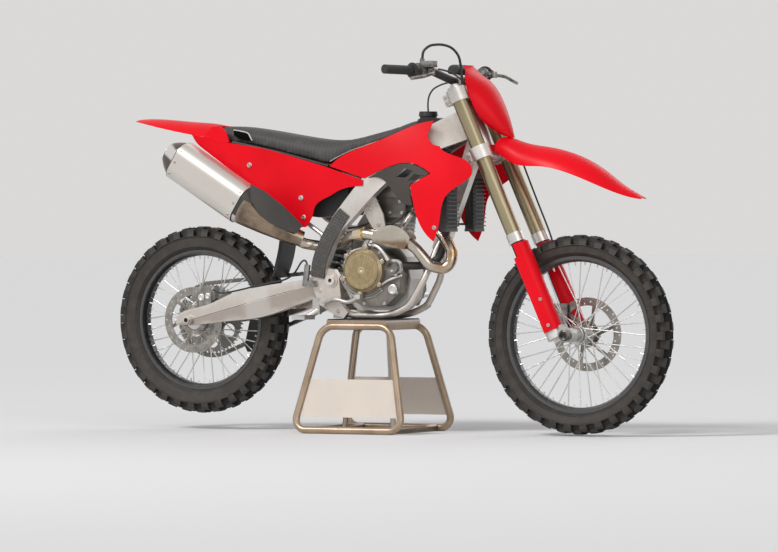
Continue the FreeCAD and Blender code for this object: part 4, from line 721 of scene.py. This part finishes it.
def sideSpots(node, spots, sides=(-1, 1), size=1.0, square=True):
    found = []
    for x, z in spots:
        for side in sides:
            hit = seated(node, (x, side * outside, z), side)
            if hit:
                found.append((hit[0], (0, side, 0) if square else hit[1], size))
    return found


def ringSpots(centre, radius, side, y, start, count=6):
    spots = []
    for step in range(count):
        turn = math.radians(start) + 2 * math.pi * step / count
        place = Vector((centre[0] + radius * math.cos(turn), y, centre[1] + radius * math.sin(turn)))
        spots.append((place, (0, side, 0), 1.0))
    return spots


def onCan(length, across):
    cosine, sine = math.cos(can["angle"]), math.sin(can["angle"])
    x, z = can["front"]
    return x - length * cosine + across * sine, z + length * sine + across * cosine


def leaned(x, y, z):
    cosine, sine = math.cos(rake["angle"]), math.sin(rake["angle"])
    return Vector((rake["head"][0] + x * cosine - z * sine, y, rake["head"][1] + x * sine + z * cosine))


wheels = {"front": {"centre": (0.738, 0.350), "rim": 0.252, "body": "front_wheel"},
          "rear": {"centre": (-0.750, 0.392), "rim": 0.229, "body": "rear_wheel"}}
bolts = {
    "panel": [(-0.505, 0.942), (-0.292, 0.825), (-0.281, 0.757)],
    "hanger": [(-0.032, 0.788), (-0.006, 0.803), (0.004, 0.730)],
    "plate": [(-0.222, 0.500), (-0.150, 0.428), (-0.196, 0.450)],
    "case": [(-0.119, 0.592), (-0.119, 0.528), (-0.094, 0.482), (-0.046, 0.455), (0.034, 0.455),
             (0.082, 0.494), (0.088, 0.556), (0.016, 0.634), (-0.044, 0.647), (-0.093, 0.632)],
    "leftCase": [(-0.040, 0.475), (0.018, 0.458), (0.076, 0.480), (0.082, 0.545), (0.062, 0.575),
                 (-0.030, 0.575)],
    "head": [(-0.030, 0.772), (0.030, 0.772), (0.078, 0.772), (-0.020, 0.812), (0.070, 0.812)],
    "spar": [(-0.205, 0.690)],
    "shroud": [(0.262, 0.720)],
    "caliper": [(-0.715, 0.504), (-0.664, 0.504)],
    "guard": [(0.648, 0.474), (0.679, 0.385)],
    "pump": {"centre": (0.080, 0.582), "radius": 0.0215, "count": 3, "start": 80},
    "adjuster": (-0.804, 0.1015, 0.389),
    "rivet": {"lengths": (0.014, 0.291), "across": (-0.046, 0.0, 0.046)},
    "clamp": {"behind": -0.022, "heights": (0.060, 0.080, -0.160, -0.140)},
    "frontDisc": {"radius": 0.037, "side": 1, "y": 0.059, "start": 30},
    "rearDisc": {"radius": 0.043, "side": -1, "y": -0.079, "start": 30},
    "sprocket": {"radius": 0.037, "side": 1, "y": 0.067, "start": 0},
}


def makeBolts():
    hexHead = headModel("hexHead")
    capHead = headModel("capHead")
    chassis = sideSpots("frame", bolts["hanger"] + bolts["plate"] + bolts["spar"], size=1.25)
    chassis += sideSpots("engine", bolts["case"], sides=(-1,))
    chassis += sideSpots("engine", bolts["leftCase"], sides=(1,))
    chassis += sideSpots("cylinder", bolts["head"])
    chassis += sideSpots("rear_brake", bolts["caliper"], sides=(-1,), size=0.8)
    pump = bolts["pump"]
    ring = ringSpots(pump["centre"], pump["radius"], -1, 0, pump["start"], pump["count"])
    chassis += sideSpots("engine", [(place.x, place.z) for place, axis, size in ring], sides=(-1,), size=0.7)
    x, y, z = bolts["adjuster"]
    chassis += [(Vector((x, side * y, z)), (-1, 0, 0), 1.2) for side in (-1, 1)]
    settle(copiesOf(hexHead, chassis, "chassis_bolts"), "boltSteel", "chassis")
    panels = sideSpots("side_panels", bolts["panel"], size=1.5, square=False)
    panels += sideSpots("shrouds", bolts["shroud"], size=1.3, square=False)
    settle(copiesOf(capHead, panels, "panel_bolts"), "boltSteel", "chassis")
    rivet = bolts["rivet"]
    rivets = [onCan(length, across) for length in rivet["lengths"] for across in rivet["across"]]
    rivets = sideSpots("muffler", rivets, sides=(-1,), size=0.75, square=False)
    settle(copiesOf(capHead, rivets, "can_rivets"), "forgedSteel", "chassis")
    clamps = []
    for side in (-1, 1):
        for height in bolts["clamp"]["heights"]:
            hit = seated("triple_clamps", leaned(bolts["clamp"]["behind"], side * outside, height), side)
            if hit:
                clamps.append((hit[0], (0, side, 0), 1.0))
    clamps += sideSpots("fork_guards", bolts["guard"], square=False)
    settle(copiesOf(capHead, clamps, "clamp_bolts"), "boltSteel", "steering")
    front = ringSpots(wheels["front"]["centre"], **bolts["frontDisc"])
    settle(copiesOf(capHead, front, "front_disc_bolts"), "boltSteel", "front_wheel")
    rear = ringSpots(wheels["rear"]["centre"], **bolts["rearDisc"])
    rear += ringSpots(wheels["rear"]["centre"], **bolts["sprocket"])
    settle(copiesOf(capHead, rear, "rear_disc_bolts"), "boltSteel", "rear_wheel")
    return hexHead, capHead


bossLook = {"sides": 20, "foot": -0.112, "radius": 0.0095, "height": 0.016, "sunk": 0.0001,
            "inset": 0.0015, "rise": 0.001, "bevel": 0.0008}


def makeCoverBosses(hexHead):
    height, sunk, rise = bossLook["height"], bossLook["sunk"], bossLook["rise"]
    boss = turned("boss", bossLook["sides"], bossLook["radius"], height, height / 2 - sunk,
                  [(bossLook["inset"], rise)])
    bevelled(boss, bossLook["bevel"])
    spots = ringSpots(cover["centre"], cover["boltRadius"], -1, bossLook["foot"], cover["firstBolt"],
                      cover["boltCount"])
    settle(copiesOf(boss, spots, "cover_bosses"), "coverGold", "chassis")
    top = Vector((0, sunk - height - rise, 0))
    tops = [(place + top, axis, 0.95) for place, axis, size in spots]
    settle(copiesOf(hexHead, tops, "cover_bolts"), "boltSteel", "chassis")
    bpy.data.objects.remove(boss)


def hose(name, route, radius, finish, body, girths=None):
    line = bpy.data.curves.new(name, "CURVE")
    line.dimensions = "3D"
    line.bevel_depth = radius
    line.bevel_resolution = 10 if girths else 4
    line.use_fill_caps = True
    spline = line.splines.new("NURBS")
    spline.points.add(len(route) - 1)
    for point, place, girth in zip(spline.points, route, girths or [1] * len(route)):
        point.co = (*place, 1)
        point.radius = girth
    spline.order_u = 3
    spline.use_endpoint_u = True
    spline.resolution_u = 10 if girths else 8
    pick(added(name, line))
    bpy.ops.object.convert(target="MESH")
    bpy.ops.object.shade_smooth()
    settle(bpy.context.object, finish, body)


hoses = {
    "rear_brake_hose": (0.0032, "hoseRubber", [
        (-0.267, -0.122, 0.588), (-0.270, -0.120, 0.606), (-0.296, -0.108, 0.604), (-0.330, -0.094, 0.560),
        (-0.372, -0.090, 0.534), (-0.460, -0.094, 0.521), (-0.560, -0.098, 0.497), (-0.630, -0.099, 0.486),
        (-0.655, -0.096, 0.498), (-0.672, -0.088, 0.505)]),
    "lower_coolant_hose": (0.014, "hoseRubber", [
        (0.100, -0.104, 0.588), (0.130, -0.084, 0.586), (0.176, -0.056, 0.590), (0.212, -0.036, 0.612),
        (0.226, -0.036, 0.660), (0.246, -0.056, 0.700), (0.264, -0.082, 0.724)]),
    "water_pipe": (0.0065, "brightAlloy", [
        (-0.012, -0.112, 0.654), (-0.006, -0.128, 0.660), (0.020, -0.136, 0.657), (0.047, -0.138, 0.632),
        (0.062, -0.136, 0.606)]),
    "case_bar": (0.0042, "brightAlloy", [
        (0.026, -0.116, 0.520), (0.034, -0.121, 0.526), (0.066, -0.122, 0.542), (0.104, -0.118, 0.554)]),
    "head_stub": (0.009, "brightAlloy", [
        (0.084, -0.064, 0.730), (0.104, -0.078, 0.746), (0.124, -0.082, 0.768)]),
    "clutch_cable": (0.0028, "hoseRubber", [
        (-0.098, -0.100, 0.640), (-0.108, -0.098, 0.668), (-0.070, -0.088, 0.716), (0.010, -0.078, 0.722),
        (0.070, -0.074, 0.740), (0.120, -0.070, 0.800), (0.150, -0.066, 0.880)]),
    "starter_wire": (0.0024, "hoseRubber", [
        (-0.170, -0.090, 0.700), (-0.130, -0.094, 0.716), (-0.080, -0.090, 0.722), (-0.030, -0.080, 0.740)]),
    "upper_coolant_hose": (0.011, "hoseRubber", [
        (0.080, 0.030, 0.812), (0.118, 0.034, 0.826), (0.170, 0.060, 0.862), (0.226, 0.092, 0.884),
        (0.268, 0.104, 0.884)]),
}


frontHose = {"radius": 0.0032,
             "overBar": [(0.290, -0.200, 1.268), (0.322, -0.176, 1.262), (0.338, -0.110, 1.232),
                         (0.346, -0.020, 1.180)],
             "downFork": [(0.066, 0.060, 0.010), (0.070, 0.088, -0.090), (0.070, 0.094, -0.190),
                          (0.064, 0.098, -0.330), (0.062, 0.101, -0.460), (0.058, 0.101, -0.510),
                          (0.044, 0.101, -0.540)]}


def makeHoses():
    for name, (radius, finish, route) in hoses.items():
        hose(name, route, radius, finish, "chassis")
    route = frontHose["overBar"] + [tuple(leaned(*place)) for place in frontHose["downFork"]]
    hose("front_brake_hose", route, frontHose["radius"], "hoseRubber", "steering")


nipple = {"count": 36, "foot": 0.004, "tip": 0.0024, "length": 0.013, "offset": 0.005, "proud": 0.001,
          "bevel": 0.0004}


def makeNipples():
    fresh()
    bpy.ops.mesh.primitive_cone_add(vertices=8, radius1=nipple["foot"], radius2=nipple["tip"],
                                    depth=nipple["length"], location=(0, 0, nipple["length"] / 2))
    model = bpy.context.object
    bpy.ops.object.transform_apply(location=True)
    bevelled(model, nipple["bevel"], 1)
    for label, wheel in wheels.items():
        spots = []
        for step in range(nipple["count"]):
            turn = 2 * math.pi * (step + 0.5) / nipple["count"]
            outward = Vector((math.cos(turn), 0, math.sin(turn)))
            place = Vector((wheel["centre"][0], 0, wheel["centre"][1]))
            place += outward * (wheel["rim"] + nipple["proud"])
            place.y = nipple["offset"] * (1 if step % 2 else -1)
            spots.append((place, -outward, 1.0))
        settle(copiesOf(model, spots, label + "_nipples"), "spokeSteel", wheel["body"])
    bpy.data.objects.remove(model)


ribs = {"radius": 0.0026, "rows": (0.090, 0.099), "from": 196, "to": 316, "steps": 9, "y": -0.1125}


def makeCaseRibs():
    x, z = cover["centre"]
    for row, reach in enumerate(ribs["rows"]):
        route = []
        for step in range(ribs["steps"]):
            turn = math.radians(ribs["from"] + (ribs["to"] - ribs["from"]) * step / (ribs["steps"] - 1))
            route.append((x + reach * math.cos(turn), ribs["y"], z + reach * math.sin(turn)))
        hose("case_rib_" + str(row + 1), route, ribs["radius"], "castAlloy", "chassis")


discs = {
    "pump_cover": (0.0245, 0.006, (0.080, -0.1322, 0.582), [(0.004, 0.004), (0.008, -0.002)], "controlAlloy",
                   "case_alloy"),
    "oil_ring": (0.0175, 0.003, (0.070, -0.1182, 0.505), [(0.0035, 0.002), (0.003, -0.004)], "brightAlloy",
                 "steel"),
    "caliper_cap_1": (0.0125, 0.004, (-0.703, -0.1027, 0.473), [(0.003, 0.003), (0.003, -0.002)],
                      "brightAlloy", "case_alloy"),
    "caliper_cap_2": (0.0105, 0.004, (-0.677, -0.1027, 0.478), [(0.0025, 0.003), (0.003, -0.002)],
                      "brightAlloy", "case_alloy"),
    "pivot_ring": (0.0165, 0.004, (-0.176, -0.1145, 0.535), [(0.004, 0.002), (0.002, -0.005)], "controlAlloy",
                   "steel"),
    "front_axle_ring": (0.021, 0.006, (0.738, -0.126, 0.350), [(0.005, 0.003), (0.003, -0.007)],
                        "controlAlloy", "steel"),
}
discLook = {"sides": 40, "bevel": 0.0009}


def makeDiscs():
    for name, (radius, depth, place, steps, finish, slot) in discs.items():
        piece = turned(name, discLook["sides"], radius, depth, depth / 2, steps)
        bevelled(piece, discLook["bevel"])
        piece.data.transform(Matrix.Translation(place) @ Matrix.Rotation(math.radians(90), 4, "X"))
        settle(piece, finish, "steering" if name == "front_axle_ring" else "chassis")


sleeve = {"route": [(-0.482, -0.165, 0.790), (-0.420, -0.165, 0.752), (-0.367, -0.162, 0.722),
                    (-0.322, -0.152, 0.698), (-0.285, -0.126, 0.680)],
          "girth": (1.0, 0.80, 0.62, 0.50, 0.42), "radius": 0.0655}


def makeSleeve():
    hose("can_sleeve", sleeve["route"], sleeve["radius"], "sleeveSteel", "chassis",
         sleeve["girth"])


plates = {
    "can_shield": ([(-0.436, -0.2275, 0.874), (-0.434, -0.2285, 0.818), (-0.409, -0.224, 0.773),
                    (-0.372, -0.211, 0.739), (-0.306, -0.189, 0.707), (-0.282, -0.178, 0.700),
                    (-0.258, -0.168, 0.728), (-0.330, -0.186, 0.799), (-0.392, -0.206, 0.850)],
                   0.0022, "shieldBlack", "shield_black", (-1,)),
    "tail_fairing": ([(-0.706, -0.088, 1.0400), (-0.660, -0.0945, 1.0790), (-0.628, -0.0965, 1.0790),
                      (-0.606, -0.0985, 1.0640), (-0.590, -0.1010, 1.0260), (-0.618, -0.1005, 1.0190),
                      (-0.668, -0.0965, 1.0270)], 0.0025, "redPlastic", "red_plastic", (-1, 1)),
}
bevelShare = 0.3


def makePlate(name, outline, thickness, finish, side):
    mesh = bpy.data.meshes.new(name)
    shape = bmesh.new()
    corners = [shape.verts.new((x, y * -side, z)) for x, y, z in outline]
    shape.faces.new(corners)
    bmesh.ops.triangulate(shape, faces=shape.faces[:])
    shape.to_mesh(mesh)
    shape.free()
    piece = added(name, mesh)
    pick(piece)
    applied(piece, "SOLIDIFY", {"thickness": thickness, "offset": 0})
    bpy.ops.object.mode_set(mode="EDIT")
    bpy.ops.mesh.select_all(action="SELECT")
    bpy.ops.mesh.normals_make_consistent(inside=False)
    bpy.ops.object.mode_set(mode="OBJECT")
    bevelled(piece, thickness * bevelShare)
    settle(piece, finish, "chassis")


def makePlates():
    for name, (outline, thickness, finish, slot, sides) in plates.items():
        for side in sides:
            label = name if len(sides) == 1 else name + ("_right" if side < 0 else "_left")
            makePlate(label, outline, thickness, finish, side)


# seat trim: the pale edge tube and the pale hole rim are painted highlights, and the near-black sheet over
# the grab hole is painted shade
seatTrim = {"radius": 0.0016,
            "edge": [(0.128, 0.045, 1.0745), (0.096, 0.053, 1.062), (0.040, 0.067, 1.038),
                     (-0.050, 0.081, 1.010), (-0.125, 0.093, 0.986), (-0.187, 0.099, 0.953)],
            "rimRadius": 0.0024, "rimPoints": 5, "proud": 0.0045, "holeDepth": 0.0012,
            "hole": [(-0.589, 1.0665), (-0.560, 1.0630), (-0.524, 1.0560), (-0.512, 1.0400), (-0.504, 1.0285),
                     (-0.526, 1.0275), (-0.560, 1.0350), (-0.582, 1.0480)],
            "strip": [(-0.580, -0.0930, 1.0215), (-0.500, -0.0920, 1.0065), (-0.385, -0.0900, 0.9835),
                      (-0.284, -0.0880, 0.9575), (-0.200, -0.0860, 0.9360)], "stripRadius": 0.007}


def makeSeatTrim():
    for side in (-1, 1):
        label = "right" if side < 0 else "left"
        # painted highlight: a thin pale tube along the seat's lower front edge
        edge = [(x, side * y, z) for x, y, z in seatTrim["edge"]]
        hose(label + "_seat_piping", edge, seatTrim["radius"], "paintedHighlightGrey", "chassis")
        strip = [(x, -side * y, z) for x, y, z in seatTrim["strip"]]
        hose(label + "_seat_base", strip, seatTrim["stripRadius"], "blackPlastic", "chassis")
        edge = []
        for x, z in seatTrim["hole"]:
            hit = seated("seat", (x, side * outside, z), side)
            if hit:
                edge.append(tuple(hit[0] + Vector((0, side * seatTrim["proud"], 0))))
        if len(edge) > 2:
            # painted shade: a near-black sheet over the grab hole stands for the shade inside it
            hole = [(x, -side * y, z) for x, y, z in edge]
            makePlate(label + "_grab_hole", hole, seatTrim["holeDepth"], "holeShadeBlack", side)
            # painted highlight: a pale tube along the upper rim of the grab hole
            rim = edge[:seatTrim["rimPoints"]]
            hose(label + "_grab_rim", rim, seatTrim["rimRadius"], "paintedHighlightGrey", "chassis")


hexHead, capHead = makeBolts()
makeCoverBosses(hexHead)
makeHoses()
makeNipples()
makeCaseRibs()
makeDiscs()
makeSleeve()
makePlates()
makeSeatTrim()
for model in (hexHead, capHead):
    bpy.data.objects.remove(model)
print("bolts, hoses, nipples and seat trim made")


# studio: a pale floor, a pale world and soft lamps

studio = {"floor": (0.78, 0.77, 0.76), "sky": (0.80, 0.82, 0.86), "skyLight": 0.55, "backdrop": 0.905,
          "floorSize": 400, "floorShade": 0.985, "aim": (0, 0, 0.6),
          "suns": (("keySun", (-3.0, -6.0, 6.5), 1.5, 14), ("fillSun", (6.0, -5.0, 3.0), 0.6, 40),
                   ("backSun", (1.0, 6.0, 4.0), 0.5, 40)),
          "softBox": {"place": (-1.5, -4.5, 4.6), "size": 3.0, "power": 60}}


def makeFloor():
    fresh()
    bpy.ops.mesh.primitive_plane_add(size=studio["floorSize"], location=(0, 0, 0))
    floor = bpy.context.object
    floor.name = "studio_floor"
    paint = Paint("studioFloor")
    cloud = paint.noise(paint.place(), 1.5, 4)
    colour = paint.mix(cloud, studio["floor"], tuple(studio["floorShade"] * part for part in studio["floor"]))
    dress(floor, paint.finish(colour=colour, roughness=0.9, specular=0.0))


def makeWorld():
    world = bpy.data.worlds.new("studioWorld")
    world.use_nodes = True
    tree = world.node_tree
    seen = tree.nodes["Background"]
    seen.inputs["Color"].default_value = (*studio["floor"], 1)
    seen.inputs["Strength"].default_value = studio["backdrop"]
    lighting = tree.nodes.new("ShaderNodeBackground")
    lighting.inputs["Color"].default_value = (*studio["sky"], 1)
    lighting.inputs["Strength"].default_value = studio["skyLight"]
    rays = tree.nodes.new("ShaderNodeLightPath")
    direct = tree.nodes.new("ShaderNodeMath")
    direct.operation = "MAXIMUM"
    through = tree.nodes.new("ShaderNodeMath")
    through.operation = "MAXIMUM"
    choose = tree.nodes.new("ShaderNodeMixShader")
    tree.links.new(rays.outputs["Is Camera Ray"], direct.inputs[0])
    tree.links.new(rays.outputs["Is Glossy Ray"], direct.inputs[1])
    tree.links.new(direct.outputs[0], through.inputs[0])
    tree.links.new(rays.outputs["Is Transmission Ray"], through.inputs[1])
    tree.links.new(through.outputs[0], choose.inputs[0])
    tree.links.new(lighting.outputs[0], choose.inputs[1])
    tree.links.new(seen.outputs[0], choose.inputs[2])
    tree.links.new(choose.outputs[0], tree.nodes["World Output"].inputs[0])
    bpy.context.scene.world = world


def aimed(lamp, spot):
    lamp.rotation_euler = (Vector(studio["aim"]) - Vector(spot)).to_track_quat("-Z", "Y").to_euler()


def makeLamps():
    for name, spot, strength, spread in studio["suns"]:
        bpy.ops.object.light_add(type="SUN", location=spot)
        lamp = bpy.context.object
        lamp.name = name
        lamp.data.energy = strength
        lamp.data.angle = math.radians(spread)
        aimed(lamp, spot)
    box = studio["softBox"]
    bpy.ops.object.light_add(type="AREA", location=box["place"])
    lamp = bpy.context.object
    lamp.name = "softBox"
    lamp.data.size = box["size"]
    lamp.data.energy = box["power"]
    aimed(lamp, box["place"])


makeFloor()
makeWorld()
makeLamps()
print("studio ready")
